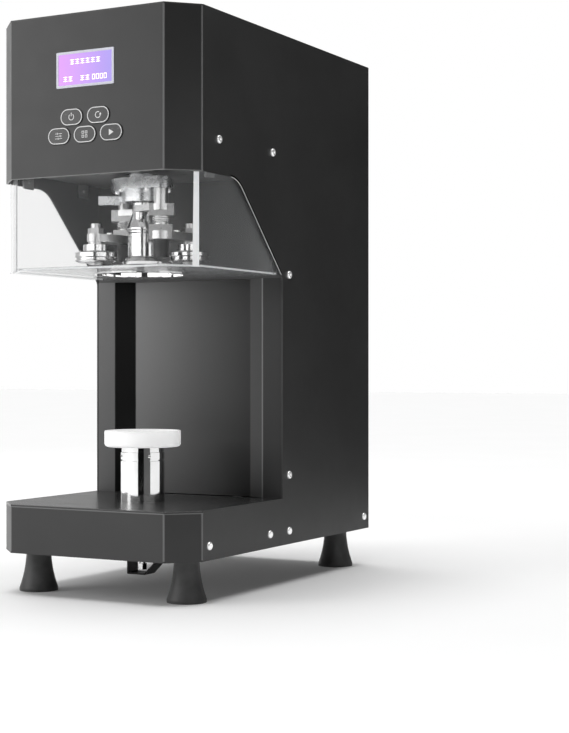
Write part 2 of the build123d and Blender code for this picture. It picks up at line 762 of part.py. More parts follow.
pulley_height = 20.0
pulley_flange = 2.0
pulley_rim = 3.0
turret_groove_radius = 57.0
motor_groove_radius = 19.0
turret_top = pulley_low + pulley_height + 9.0
pivot_x = pivot_orbit * cos(radians(pivot_lag))
pivot_y = pivot_orbit * sin(radians(pivot_lag))


def turret_plane(turn, height):
    """Level plane on the chuck axis whose X points at the roll that is turned by this angle."""
    direction = radians(roll_angle + turn)
    return Plane(origin=(0, axis_y, height), x_dir=(cos(direction), sin(direction), 0), z_dir=(0, 0, 1))


with BuildPart() as turret_spindle:
    # Plate with a lobe for each pivot pin
    with BuildSketch(turret_plane(0, turret_plate_low)):
        Circle(turret_plate_radius)
        with Locations((pivot_x, pivot_y), (-pivot_x, -pivot_y)):
            Circle(pivot_lobe_radius)
        make_hull()
        with Locations((pivot_x, pivot_y), (-pivot_x, -pivot_y)):
            Circle(pivot_pin_radius + seat_gap, mode=Mode.SUBTRACT)
    extrude(amount=turret_plate_top - turret_plate_low)
    # Hub below, hollow for the raised cone
    with Locations((0, axis_y, hub_low)):
        Cylinder(hub_radius, turret_plate_low - hub_low, align=low)
    # Balance block on the hub
    with BuildSketch(turret_plane(180, hub_low - 3.0)):
        with Locations((hub_radius + 12.0, 0)):
            Rectangle(28.0, 9.0)
    extrude(amount=11.0)
    # Hollow shaft
    with Locations((0, axis_y, turret_plate_top)):
        Cylinder(turret_shaft_radius, turret_top - turret_plate_top, align=low)
    with Locations((0, axis_y, hub_low)):
        Cylinder(turret_bore_radius, turret_top - hub_low, align=low, mode=Mode.SUBTRACT)
        Cylinder(hub_bore_radius, cone_stroke + 4.0, align=low, mode=Mode.SUBTRACT)
turret_spindle.part.label = "turret_spindle"
export_step(turret_spindle.part, "parts/turret_spindle.step")

with BuildPart() as spindle_housing:
    with Locations((0, axis_y, frame_plate_top)):
        Cylinder(housing_radius, housing_top - frame_plate_top, align=low)
        Cylinder(housing_flange_radius, housing_flange_top - frame_plate_top, align=low)
        Cylinder(bearing_outer_radius - 3.0, housing_top - frame_plate_top, align=low, mode=Mode.SUBTRACT)
    with Locations((0, axis_y, frame_plate_top)):
        bore_height = lower_bearing + bearing_width - frame_plate_top
        Cylinder(bearing_outer_radius + seat_gap, bore_height, align=low, mode=Mode.SUBTRACT)
    with Locations((0, axis_y, upper_bearing)):
        Cylinder(bearing_outer_radius + seat_gap, bearing_width + 2.0, align=low, mode=Mode.SUBTRACT)
    with Locations((0, axis_y, housing_flange_top)):
        with PolarLocations(housing_bolt_circle, 6, start_angle=30):
            Cylinder(housing_bolt_radius + 0.1, 8.0, align=high, mode=Mode.SUBTRACT)
            Cylinder(5.3, 8.0, align=low, mode=Mode.SUBTRACT)
spindle_housing.part.label = "spindle_housing"
export_step(spindle_housing.part, "parts/spindle_housing.step")

with BuildPart() as bearing_outer_rings:
    for bearing_low in (lower_bearing, upper_bearing):
        with Locations((0, axis_y, bearing_low)):
            Cylinder(bearing_outer_radius, bearing_width, align=low)
            Cylinder(outer_race_radius, bearing_width, align=low, mode=Mode.SUBTRACT)
        with Locations((0, axis_y, bearing_low + bearing_width / 2)):
            Torus(ball_orbit, ball_radius + 0.1, mode=Mode.SUBTRACT)
bearing_outer_rings.part.label = "bearing_outer_rings"
export_step(bearing_outer_rings.part, "parts/bearing_outer_rings.step")

with BuildPart() as bearing_inner_rings:
    for bearing_low in (lower_bearing, upper_bearing):
        with Locations((0, axis_y, bearing_low)):
            Cylinder(inner_race_radius, bearing_width, align=low)
            Cylinder(turret_shaft_radius + seat_gap, bearing_width, align=low, mode=Mode.SUBTRACT)
        with Locations((0, axis_y, bearing_low + bearing_width / 2)):
            Torus(ball_orbit, ball_radius + running_fit, mode=Mode.SUBTRACT)
            with PolarLocations(ball_orbit, ball_count):
                Sphere(ball_radius)
bearing_inner_rings.part.label = "bearing_inner_rings"
export_step(bearing_inner_rings.part, "parts/bearing_inner_rings.step")

with BuildPart() as turret_pulley:
    with Locations((0, axis_y, pulley_low)):
        Cylinder(turret_groove_radius + pulley_rim, pulley_height, align=low)
        Cylinder(turret_shaft_radius + seat_gap, pulley_height, align=low, mode=Mode.SUBTRACT)
    with BuildSketch(Plane.XY.offset(pulley_low + pulley_flange)):
        with Locations((0, axis_y)):
            Circle(turret_groove_radius + pulley_rim + 1.0)
            Circle(turret_groove_radius, mode=Mode.SUBTRACT)
    extrude(amount=pulley_height - 2 * pulley_flange, mode=Mode.SUBTRACT)
    # Ring nut that holds the pulley down
    with Locations((0, axis_y, pulley_low + pulley_height)):
        Cylinder(25.0, 7.0, align=low)
        Cylinder(turret_shaft_radius + seat_gap, 7.0, align=low, mode=Mode.SUBTRACT)
turret_pulley.part.label = "turret_pulley"
export_step(turret_pulley.part, "parts/turret_pulley.step")

belt_thickness = 4.0
belt_height = pulley_height - 2 * pulley_flange - 2.0
with BuildPart() as drive_belt:
    with BuildSketch(Plane.XY.offset(pulley_low + pulley_flange + 1.0)):
        with Locations((0, axis_y)):
            Circle(turret_groove_radius + fit_gap + belt_thickness)
        with Locations((0, motor_y)):
            Circle(motor_groove_radius + fit_gap + belt_thickness)
        make_hull()
    extrude(amount=belt_height)
    with BuildSketch(Plane.XY.offset(pulley_low + pulley_flange + 1.0)):
        with Locations((0, axis_y)):
            Circle(turret_groove_radius + fit_gap)
        with Locations((0, motor_y)):
            Circle(motor_groove_radius + fit_gap)
        make_hull()
    extrude(amount=belt_height, mode=Mode.SUBTRACT)
drive_belt.part.label = "drive_belt"
export_step(drive_belt.part, "parts/drive_belt.step")

# ---------------------------------------------------------------- drive motor
motor_radius = 45.0
motor_height = 150.0
motor_shaft_radius = 7.0
motor_shaft_in = 40.0
with BuildPart() as drive_motor:
    with Locations((0, motor_y, frame_plate_low)):
        Cylinder(motor_radius, motor_height, align=high)
        Box(2 * motor_radius, 2 * motor_radius, 10.0, align=high)
        Cylinder(motor_shaft_radius + running_fit, motor_shaft_in + 2.0, align=high, mode=Mode.SUBTRACT)
drive_motor.part.label = "drive_motor"
export_step(drive_motor.part, "parts/drive_motor.step")

with BuildPart() as motor_pulley:
    # Motor shaft, keyed into its pulley
    with Locations((0, motor_y, frame_plate_low - motor_shaft_in)):
        shaft_length = pulley_low + pulley_height + 3.0 - frame_plate_low + motor_shaft_in
        Cylinder(motor_shaft_radius, shaft_length, align=low)
    with Locations((0, motor_y, pulley_low)):
        Cylinder(motor_groove_radius + pulley_rim, pulley_height, align=low)
    with BuildSketch(Plane.XY.offset(pulley_low + pulley_flange)):
        with Locations((0, motor_y)):
            Circle(motor_groove_radius + pulley_rim + 1.0)
            Circle(motor_groove_radius, mode=Mode.SUBTRACT)
    extrude(amount=pulley_height - 2 * pulley_flange, mode=Mode.SUBTRACT)
motor_pulley.part.label = "motor_pulley"
export_step(motor_pulley.part, "parts/motor_pulley.step")

# ---------------------------------------------------------------- pivot pins, roll arms, rolls and followers
arm_low = chuck_top - 6.0
arm_thickness = 10.0
arm_boss_height = 18.0
arm_boss_radius = 14.0
arm_end_radius = 11.0
sleeve_radius = 8.75
lever_thickness = 8.0
lever_low = follower_low + follower_height + 1.0
lever_top = lever_low + lever_thickness
clamp_height = 15.0
lever_end_radius = 7.0
follower_orbit = cone_contact_radius + 0.4 + follower_radius
follower_lag = -94.8
follower_x = follower_orbit * cos(radians(follower_lag))
follower_y = follower_orbit * sin(radians(follower_lag))
follower_pin_radius = 3.0
roll_radius = 26.5
roll_pin_radius = 6.0
roll_low = chuck_low + 2.8
roll_top = arm_low - 4.0
pin_collar_radius = 10.0
pin_collar_low = chuck_low + 6.3

with BuildPart() as pivot_pins:
    for turn in (0, 180):
        with BuildSketch(turret_plane(turn, pin_collar_low)):
            with Locations((pivot_x, pivot_y)):
                Circle(pivot_pin_radius)
        extrude(amount=turret_plate_top - 1.0 - pin_collar_low)
        # Dark collar nut under the arm
        with BuildSketch(turret_plane(turn, pin_collar_low)):
            with Locations((pivot_x, pivot_y)):
                Circle(pin_collar_radius)
        extrude(amount=arm_low - fit_gap - pin_collar_low)
pivot_pins.part.label = "pivot_pins"
export_step(pivot_pins.part, "parts/pivot_pins.step")

for arm_name, roll_name, follower_name, turn, roll_groove in (
    ("roll_arm_first", "seaming_roll_first", "cam_follower_first", 0, 3.2),
    ("roll_arm_second", "seaming_roll_second", "cam_follower_second", 180, 2.2),
):
    with BuildPart() as roll_arm:
        # Pivot sleeve that both levers are clamped to
        with BuildSketch(turret_plane(turn, arm_low)):
            with Locations((pivot_x, pivot_y)):
                Circle(sleeve_radius)
        extrude(amount=turret_plate_low - fit_gap - arm_low)
        # Lower arm out to the roll
        with BuildSketch(turret_plane(turn, arm_low)):
            with Locations((pivot_x, pivot_y)):
                Circle(arm_boss_radius)
            with Locations((roll_orbit, 0)):
                Circle(arm_end_radius)
            make_hull()
        extrude(amount=arm_thickness)
        with BuildSketch(turret_plane(turn, arm_low)):
            with Locations((pivot_x, pivot_y)):
                Rectangle(29.0, 20.0)
        extrude(amount=arm_boss_height)
        # Upper lever in to the cam follower
        with BuildSketch(turret_plane(turn, lever_low)):
            with Locations((pivot_x, pivot_y)):
                Circle(arm_boss_radius - 1.0)
            with Locations((follower_x, follower_y)):
                Circle(lever_end_radius)
            make_hull()
        extrude(amount=lever_thickness)
        with BuildSketch(turret_plane(turn, lever_top - clamp_height)):
            with Locations((pivot_x + 1.5, pivot_y)):
                Rectangle(31.0, 20.0)
        extrude(amount=clamp_height)
        # Follower pin with its end washer
        with BuildSketch(turret_plane(turn, follower_low - 1.6)):
            with Locations((follower_x, follower_y)):
                Circle(follower_pin_radius)
        extrude(amount=lever_low - follower_low + 1.6)
        with BuildSketch(turret_plane(turn, follower_low - 1.6)):
            with Locations((follower_x, follower_y)):
                Circle(follower_pin_radius + 1.5)
        extrude(amount=1.2)
        # Bores for the pivot pin and the roll pin
        with BuildSketch(turret_plane(turn, arm_low)):
            with Locations((pivot_x, pivot_y)):
                Circle(pivot_pin_radius + running_fit)
        extrude(amount=turret_plate_low - arm_low, mode=Mode.SUBTRACT)
        with BuildSketch(turret_plane(turn, arm_low)):
            with Locations((roll_orbit, 0)):
                Circle(roll_pin_radius + seat_gap)
        extrude(amount=arm_thickness, mode=Mode.SUBTRACT)
        # Roll pin: washer and head below the roll, spacer, nut and lock nut above the arm
        with BuildSketch(turret_plane(turn, chuck_low)):
            with Locations((roll_orbit, 0)):
                Circle(9.0)
        extrude(amount=roll_low - fit_gap - chuck_low)
        with BuildSketch(turret_plane(turn, chuck_low)):
            with Locations((roll_orbit, 0)):
                Circle(roll_pin_radius)
        extrude(amount=arm_low + arm_thickness + 13.0 - chuck_low)
        with BuildSketch(turret_plane(turn, roll_top + fit_gap)):
            with Locations((roll_orbit, 0)):
                Circle(9.0)
        extrude(amount=arm_low - roll_top - fit_gap)
        with BuildSketch(turret_plane(turn, arm_low + arm_thickness)):
            with Locations((roll_orbit, 0)):
                RegularPolygon(10.0, 6)
        extrude(amount=7.0)
    roll_arm.part.label = arm_name
    export_step(roll_arm.part, f"parts/{arm_name}.step")

    # Roll turned about its own axis, with its seaming groove near the bottom
    roll_direction = radians(roll_angle + turn)
    roll_centre = (roll_orbit * cos(roll_direction), axis_y + roll_orbit * sin(roll_direction))
    with BuildPart() as seaming_roll:
        with BuildSketch(turning_plane(*roll_centre)):
            with BuildLine():
                Polyline(
                    (roll_pin_radius + running_fit, roll_low),
                    (roll_radius - 4.0, roll_low),
                    (roll_radius, roll_low + 1.8),
                    (roll_radius, roll_low + 2.6),
                    (roll_radius - 1.6, roll_low + 3.4),
                    (roll_radius - 1.6, roll_low + 3.4 + roll_groove),
                    (roll_radius, roll_low + 4.6 + roll_groove),
                    (roll_radius, roll_low + 12.0),
                    (roll_radius - 2.0, roll_low + 14.0),
                    (roll_radius - 11.0, roll_low + 14.0),
                    (roll_radius - 11.0, roll_top),
                    (roll_pin_radius + running_fit, roll_top),
                    close=True,
                )
            make_face()
        revolve(axis=upright_axis(*roll_centre))
    seaming_roll.part.label = roll_name
    export_step(seaming_roll.part, f"parts/{roll_name}.step")

    with BuildPart() as cam_follower:
        with BuildSketch(turret_plane(turn, follower_low)):
            with Locations((follower_x, follower_y)):
                Circle(follower_radius)
                Circle(follower_pin_radius + running_fit, mode=Mode.SUBTRACT)
        extrude(amount=follower_height)
    cam_follower.part.label = follower_name
    export_step(cam_follower.part, f"parts/{follower_name}.step")

# ---------------------------------------------------------------- lift: guide, tube, screw, gears, motor
lift_stroke = 35.0
tube_wall = 4.25
gear_module = 2.0
screw_gear_teeth = 36
pinion_teeth = 16
gear_addendum = 0.8  # share of the module
pressure_angle = radians(20)
tooth_relief = 0.8  # taken off each tooth at the pitch circle
gear_low = casing_bottom + sheet + 2.0
gear_width = 7.0
tube_low = gear_low + gear_width + 1.0
tube_top = base_top + 52.7
groove_height = 1.6
groove_depth = 1.75
stem_radius = 20.0
stem_socket = 14.0
guide_low = tube_low + 4.0
guide_plate_low = base_top - sheet - 6.0
guide_outer_radius = 32.5
gear_centres = gear_module * (screw_gear_teeth + pinion_teeth) / 2
pinion_y = axis_y + gear_centres
lift_motor_radius = 18.5
pinion_shaft_radius = 3.0

with BuildPart() as lift_guide:
    with Locations((0, axis_y + 8.0, guide_plate_low)):
        Box(220.0, 155.0, base_top - sheet - guide_plate_low, align=low)
    with Locations((0, axis_y, guide_low)):
        Cylinder(guide_outer_radius, guide_plate_low - guide_low, align=low)
        Cylinder(tube_radius + running_fit, base_top - guide_low, align=low, mode=Mode.SUBTRACT)
    # Legs down to the bottom plate
    with Locations((0, axis_y + 8.0, casing_bottom + sheet)):
        with GridLocations(184.0, 135.0, 2, 2):
            Cylinder(6.0, guide_plate_low - casing_bottom - sheet, align=low)
lift_guide.part.label = "lift_guide"
export_step(lift_guide.part, "parts/lift_guide.step")

nut_height = 14.0
with BuildPart() as lift_tube:
    with BuildSketch(turning_plane(0, axis_y)):
        with BuildLine():
            Polyline(
                (tube_radius - tube_wall, tube_low),
                (tube_radius, tube_low),
                (tube_radius, tube_top - groove_height),
                (tube_radius - groove_depth, tube_top - groove_height),
                (tube_radius - groove_depth, tube_top),
                (stem_radius + running_fit, tube_top),
                (stem_radius + running_fit, tube_top - stem_socket),
                (tube_radius - tube_wall, tube_top - stem_socket),
                close=True,
            )
        make_face()
    revolve(axis=upright_axis(0, axis_y))
    # Lift nut pressed into the foot of the tube
    with Locations((0, axis_y, tube_low)):
        Cylinder(tube_radius - tube_wall - seat_gap, nut_height, align=low)
        Cylinder(screw_radius + 0.1, nut_height, align=low, mode=Mode.SUBTRACT)
lift_tube.part.label = "lift_tube"
export_step(lift_tube.part, "parts/lift_tube.step")


def tooth_outline(teeth):
    """One involute tooth of a spur gear about its centre, pointing along X."""
    pitch_radius = gear_module * teeth / 2
    base_radius = pitch_radius * cos(pressure_angle)
    root_radius = pitch_radius - 1.25 * gear_module
    tip_radius = pitch_radius + gear_addendum * gear_module
    pitch_half = (pi * gear_module / 2 - tooth_relief) / 2 / pitch_radius
    steps = [base_radius + (tip_radius - base_radius) * step / 4 for step in range(5)]
    flank = []
    for radius in [root_radius - 0.3] + steps:
        roll = acos(min(1.0, base_radius / radius))
        half = pitch_half + tan(pressure_angle) - pressure_angle - (tan(roll) - roll)
        flank.append((radius * cos(half), radius * sin(half)))
    return flank + [(x, -y) for x, y in reversed(flank)]


def draw_gear(teeth, first_tooth):
    """Spur gear about the current location, its first tooth at this angle."""
    Circle(gear_module * teeth / 2 - 1.25 * gear_module)
    with PolarLocations(0, teeth, start_angle=first_tooth):
        Polygon(*tooth_outline(teeth), align=None)


with BuildPart() as lead_screw:
    # Screw, its journal and the nut at its foot
    screw_bearing_low = casing_bottom - 14.0
    journal_low = casing_bottom - 27.3
    screw_top = tube_low + nut_height + lift_stroke + 3.0
    with Locations((0, axis_y, screw_bearing_low)):
        Cylinder(screw_radius, screw_top - screw_bearing_low, align=low)
    with Locations((0, axis_y, journal_low)):
        Cylinder(4.0, screw_bearing_low - journal_low, align=low)
    with BuildSketch(Plane.XY.offset(journal_low)):
        with Locations((0, axis_y)):
            RegularPolygon(5.8, 6)
    extrude(amount=7.7)
    # Gear keyed to the screw, a separate piece
    with BuildSketch(Plane(origin=(0, axis_y, gear_low))):
        draw_gear(screw_gear_teeth, 90.0)
        Circle(screw_radius + seat_gap, mode=Mode.SUBTRACT)
    extrude(amount=gear_width)
lead_screw.part.label = "lead_screw"
export_step(lead_screw.part, "parts/lead_screw.step")

with BuildPart() as motor_pinion:
    with BuildSketch(Plane(origin=(0, pinion_y, gear_low))):
        draw_gear(pinion_teeth, 270.0 + 180.0 / pinion_teeth)
    extrude(amount=gear_width)
    with Locations((0, pinion_y, gear_low)):
        Cylinder(pinion_shaft_radius, gear_width + 3.0 + 9.0, align=low)
motor_pinion.part.label = "motor_pinion"
export_step(motor_pinion.part, "parts/motor_pinion.step")

with BuildPart() as lift_motor:
    lift_motor_low = gear_low + gear_width + 3.0
    with Locations((0, pinion_y, lift_motor_low)):
        Cylinder(lift_motor_radius, guide_plate_low - lift_motor_low, align=low)
        Cylinder(pinion_shaft_radius + running_fit, 10.0, align=low, mode=Mode.SUBTRACT)
lift_motor.part.label = "lift_motor"
export_step(lift_motor.part, "parts/lift_motor.step")

bracket_depth = 22.0
bracket_drop = 33.0
strap_half = 1.0  # half the strap's thickness
with BuildPart() as screw_bracket:
    # Thrust bearing block under the bottom plate
    with Locations((0, axis_y, casing_bottom)):
        Cylinder(13.0, 13.0, align=high)
        Cylinder(screw_radius + running_fit, 13.0, align=high, mode=Mode.SUBTRACT)
    # Folded strap round the screw's foot: flange, left wall, floor, slanted wall, flange
    strap_top = casing_bottom - strap_half
    strap_low = casing_bottom - bracket_drop + strap_half
    strap_line = [(-30.0, strap_top), (-15.6, strap_top), (-15.6, strap_low), (10.0, strap_low)]
    strap_line += [(24.0, strap_low + 14.0), (24.0, strap_top), (36.0, strap_top)]
    with BuildSketch(Plane.XZ.offset(-axis_y)):
        with BuildLine():
            Polyline(*strap_line)
            offset(amount=strap_half, side=Side.BOTH)
        make_face()
    extrude(amount=bracket_depth / 2, both=True)
screw_bracket.part.label = "screw_bracket"
export_step(screw_bracket.part, "parts/screw_bracket.step")

# ---------------------------------------------------------------- lock collar, stem and tray
collar_height = 9.2
stem_stroke = 8.0
neck_radius = 26.8
neck_low = tube_top + collar_height + fit_gap
tray_low = neck_low + 6.5
tray_radius = 48.4
tray_thickness = 20.5
tray_rim = 3.0
tray_recess = 3.0
spigot_radius = 12.0
spigot_height = 8.0
with BuildPart() as lock_collar:
    with Locations((0, axis_y, tube_top)):
        Cylinder(tube_radius, collar_height, align=low)
        Cylinder(stem_radius + fit_gap, collar_height, align=low, mode=Mode.SUBTRACT)
    # Spanner holes
    for hole_angle in range(0, 360, 90):
        hole_plane = Plane(
            origin=(0, axis_y, tube_top + collar_height / 2),
            x_dir=(0, 0, 1),
            z_dir=(cos(radians(hole_angle - 39)), sin(radians(hole_angle - 39)), 0),
        )
        with BuildSketch(hole_plane.offset(tube_radius - 5.0)):
            Circle(1.75)
        extrude(amount=6.0, mode=Mode.SUBTRACT)
lock_collar.part.label = "lock_collar"
export_step(lock_collar.part, "parts/lock_collar.step")

with BuildPart() as tray_stem:
    with Locations((0, axis_y, tray_low)):
        Cylinder(neck_radius, tray_low - neck_low, align=high)
        Cylinder(spigot_radius, spigot_height, align=low)
    with Locations((0, axis_y, neck_low)):
        Cylinder(stem_radius, collar_height + fit_gap + 32.0, align=high)
tray_stem.part.label = "tray_stem"
export_step(tray_stem.part, "parts/tray_stem.step")

with BuildPart() as tray_disc:
    with Locations((0, axis_y, tray_low + 0.1)):
        Cylinder(tray_radius, tray_thickness, align=low)
    fillet(tray_disc.edges().group_by(Axis.Z)[0], 4.5)
    fillet(tray_disc.edges().group_by(Axis.Z)[-1], 1.2)
    with Locations((0, axis_y, tray_low + 0.1 + tray_thickness)):
        Cylinder(tray_radius - tray_rim, tray_recess, align=high, mode=Mode.SUBTRACT)
    with Locations((0, axis_y, tray_low)):
        Cylinder(spigot_radius + running_fit, spigot_height + 0.2, align=low, mode=Mode.SUBTRACT)
tray_disc.part.label = "tray_disc"
export_step(tray_disc.part, "parts/tray_disc.step")

# ---------------------------------------------------------------- electrics
with BuildPart() as power_supply:
    with Locations((-55.0, column_y + 140.0, casing_bottom + sheet)):
        Box(110.0, 140.0, 45.0, align=low)
power_supply.part.label = "power_supply"
export_step(power_supply.part, "parts/power_supply.step")

control_board_y = rear_y - sheet - 14.0
control_board_height = casing_bottom + 270.0
with BuildPart() as control_board:
    with Locations((0, control_board_y - board_thickness / 2, control_board_height)):
        Box(150.0, board_thickness, 110.0)
    for part_x, part_z, part_size in ((-45.0, 25.0, (30.0, 22.0, 40.0)), (30.0, 20.0, (22.0, 16.0, 22.0))):
        with Locations((part_x, control_board_y - board_thickness - part_size[1] / 2, control_board_height + part_z)):
            Box(*part_size)
    with Locations((15.0, control_board_y - board_thickness - 10.0, control_board_height - 30.0)):
        with GridLocations(22.0, 1.0, 4, 1):
            Cylinder(8.0, 20.0, rotation=(90, 0, 0))
    # Standoffs to the rear cover
    for side in (1, -1):
        for level in (1, -1):
            spacer_place = (side * 69.0, control_board_y + 7.0, control_board_height + level * 49.0)
            with Locations(spacer_place):
                Cylinder(standoff_radius, 14.0, rotation=(90, 0, 0))
control_board.part.label = "control_board"
export_step(control_board.part, "parts/control_board.step")

inlet_proud = 3.0
inlet_depth = 28.0
socket_width = 24.0
socket_tall = 17.0
socket_depth = 16.0
rocker_width = 20.0
rocker_tall = 14.0
rocker_centre = inlet_height + 17.0
socket_centre = inlet_height - 13.0
with BuildPart() as power_inlet:
    with BuildSketch(Plane.XZ.offset(-rear_y - inlet_proud)):
        with Locations((inlet_x, inlet_height)):
            RectangleRounded(inlet_width + 4.0, inlet_tall + 4.0, 3.0)
    extrude(amount=inlet_proud)
    with Locations((inlet_x, rear_y - inlet_depth / 2, inlet_height)):
        Box(inlet_width, inlet_depth, inlet_tall)
    # Socket well with its three flat pins
    with Locations((inlet_x, rear_y + inlet_proud - socket_depth / 2, socket_centre)):
        Box(socket_width, socket_depth, socket_tall, mode=Mode.SUBTRACT)
    for pin_x, pin_z in ((-7.0, -2.0), (0.0, 2.0), (7.0, -2.0)):
        with Locations((inlet_x + pin_x, rear_y + inlet_proud - socket_depth + 6.0, socket_centre + pin_z)):
            Box(2.0, 12.0, 4.0)
    # Well for the rocker
    with Locations((inlet_x, rear_y + inlet_proud - 6.0, rocker_centre)):
        Box(rocker_width + 2 * fit_gap, 12.0, rocker_tall + 2.0, mode=Mode.SUBTRACT)
power_inlet.part.label = "power_inlet"
export_step(power_inlet.part, "parts/power_inlet.step")

rocker_tilt = 8.0
rocker_pivot_y = rear_y + inlet_proud - 4.0
with BuildPart() as power_rocker:
    rocker_lean = (0, cos(radians(rocker_tilt)), sin(radians(rocker_tilt)))
    rocker_plane = Plane(origin=(inlet_x, rocker_pivot_y, rocker_centre), x_dir=rocker_lean, z_dir=(1, 0, 0))
    with BuildSketch(rocker_plane):
        with BuildLine():
            Polyline(
                (-4.0, -rocker_tall / 2 + 1.0),
                (4.5, -rocker_tall / 2),
                (4.0, 0),
                (4.5, rocker_tall / 2),
                (-4.0, rocker_tall / 2 - 1.0),
                close=True,
            )
        make_face()
    extrude(amount=rocker_width / 2, both=True)
power_rocker.part.label = "power_rocker"
export_step(power_rocker.part, "parts/power_rocker.step")
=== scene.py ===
import bmesh
import bpy
from math import atan2, cos, pi, radians, sin
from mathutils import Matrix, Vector


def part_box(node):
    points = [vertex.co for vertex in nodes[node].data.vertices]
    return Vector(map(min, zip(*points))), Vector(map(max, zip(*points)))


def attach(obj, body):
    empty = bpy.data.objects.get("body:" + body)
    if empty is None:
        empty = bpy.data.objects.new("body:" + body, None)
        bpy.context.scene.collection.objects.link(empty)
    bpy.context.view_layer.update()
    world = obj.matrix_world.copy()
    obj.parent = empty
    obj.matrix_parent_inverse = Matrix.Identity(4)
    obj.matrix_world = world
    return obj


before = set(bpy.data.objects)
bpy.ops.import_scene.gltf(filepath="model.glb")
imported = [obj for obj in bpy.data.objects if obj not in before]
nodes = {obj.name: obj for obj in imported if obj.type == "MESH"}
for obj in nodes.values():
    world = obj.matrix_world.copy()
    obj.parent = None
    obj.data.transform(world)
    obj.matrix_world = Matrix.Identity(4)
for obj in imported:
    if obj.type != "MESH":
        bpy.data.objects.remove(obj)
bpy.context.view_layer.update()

# ---- Camera
# A long lens at tray height, level, looking at the front from the machine's right hand side.
camera_place = Vector((1.118, -1.812, 0.2825))
camera_turn = radians(28.345)
camera_lens = 77.97

camera_data = bpy.data.cameras.new("camera")
camera_data.lens = camera_lens
camera_data.clip_end = 60.0
camera = bpy.data.objects.new("camera", camera_data)
camera.location = camera_place
camera.rotation_euler = (pi / 2, 0.0, camera_turn)
bpy.context.scene.collection.objects.link(camera)
bpy.context.scene.camera = camera
bpy.context.scene.view_settings.view_transform = "Standard"

# ---- Floor and studio
# A pale floor, a bright side on the left and behind, a darker side on the right, two soft boxes and a
# broad light overhead. Cards round the machine show in its polished parts.
floor_half = 14.0


def link(mesh_or_curve, name):
    """A new object in the scene."""
    thing = bpy.data.objects.new(name, mesh_or_curve)
    bpy.context.scene.collection.objects.link(thing)
    return thing


def settle(work, name, material, body):
    """Makes finished mesh work into a piece that rides a body."""
    bmesh.ops.recalc_face_normals(work, faces=work.faces)
    mesh = bpy.data.meshes.new(name)
    work.to_mesh(mesh)
    work.free()
    mesh.materials.append(material)
    piece = link(mesh, name)
    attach(piece, body)


def new_material(name):
    """A node material: its tree, its shader, and the object coordinates that every texture reads."""
    material = bpy.data.materials.new(name)
    material.use_nodes = True
    tree = material.node_tree
    shader = tree.nodes["Principled BSDF"]
    place = tree.nodes.new("ShaderNodeTexCoord")
    return material, tree, shader, place.outputs["Object"]


def node(tree, kind, **inputs):
    """A shader node with some of its sockets set by name."""
    made = tree.nodes.new("ShaderNode" + kind)
    for key, value in inputs.items():
        made.inputs[key.replace("_", " ")].default_value = value
    return made


def ramp(tree, source, low, high, low_color, high_color):
    """Two colours spread between two values of a texture."""
    made = tree.nodes.new("ShaderNodeValToRGB")
    made.color_ramp.elements[0].position = low
    made.color_ramp.elements[1].position = high
    made.color_ramp.elements[0].color = low_color
    made.color_ramp.elements[1].color = high_color
    tree.links.new(source, made.inputs["Fac"])
    return made


def spread(tree, source, low, high):
    """A texture's 0 to 1 mapped to a span of values."""
    made = node(tree, "MapRange", To_Min=low, To_Max=high)
    tree.links.new(source, made.inputs["Value"])
    return made.outputs["Result"]


def grey(value):
    """A neutral colour."""
    return (value, value, value, 1.0)


def mottled(name, scale, detail, stops, colors, roughness):
    """A node material whose colour and gloss both vary with one noise texture."""
    material, tree, shader, place = new_material(name)
    texture = node(tree, "TexNoise", Scale=scale, Detail=detail)
    tree.links.new(place, texture.inputs["Vector"])
    tint = ramp(tree, texture.outputs["Fac"], *stops, *colors)
    tree.links.new(tint.outputs["Color"], shader.inputs["Base Color"])
    tree.links.new(spread(tree, texture.outputs["Fac"], *roughness), shader.inputs["Roughness"])
    return material, tree, shader, place


floor_material, tree, shader, place = new_material("pale_floor")
mottle = node(tree, "TexNoise", Scale=3.0, Detail=3.0)
tree.links.new(place, mottle.inputs["Vector"])
floor_tint = ramp(tree, mottle.outputs["Fac"], 0.35, 0.65, grey(0.875), grey(0.885))
tree.links.new(floor_tint.outputs["Color"], shader.inputs["Base Color"])
shader.inputs["Roughness"].default_value = 0.75
# A little light of its own, as a lit table has, so that its far end stays pale
shader.inputs["Emission Color"].default_value = grey(1.0)
shader.inputs["Emission Strength"].default_value = 0.05

floor_mesh = bpy.data.meshes.new("floor")
floor_corners = [(x, y, 0.0) for x, y in ((-1, -1), (1, -1), (1, 1), (-1, 1))]
floor_mesh.from_pydata(
    [(x * floor_half, y * floor_half, z) for x, y, z in floor_corners], [], [(0, 1, 2, 3)]
)
floor_mesh.materials.append(floor_material)
floor = link(floor_mesh, "floor")

world = bpy.data.worlds.new("studio")
bpy.context.scene.world = world
world.use_nodes = True
sky = world.node_tree
sky_shader = sky.nodes["Background"]
sky_out = sky.nodes["World Output"]
sky_place = sky.nodes.new("ShaderNodeTexCoord")
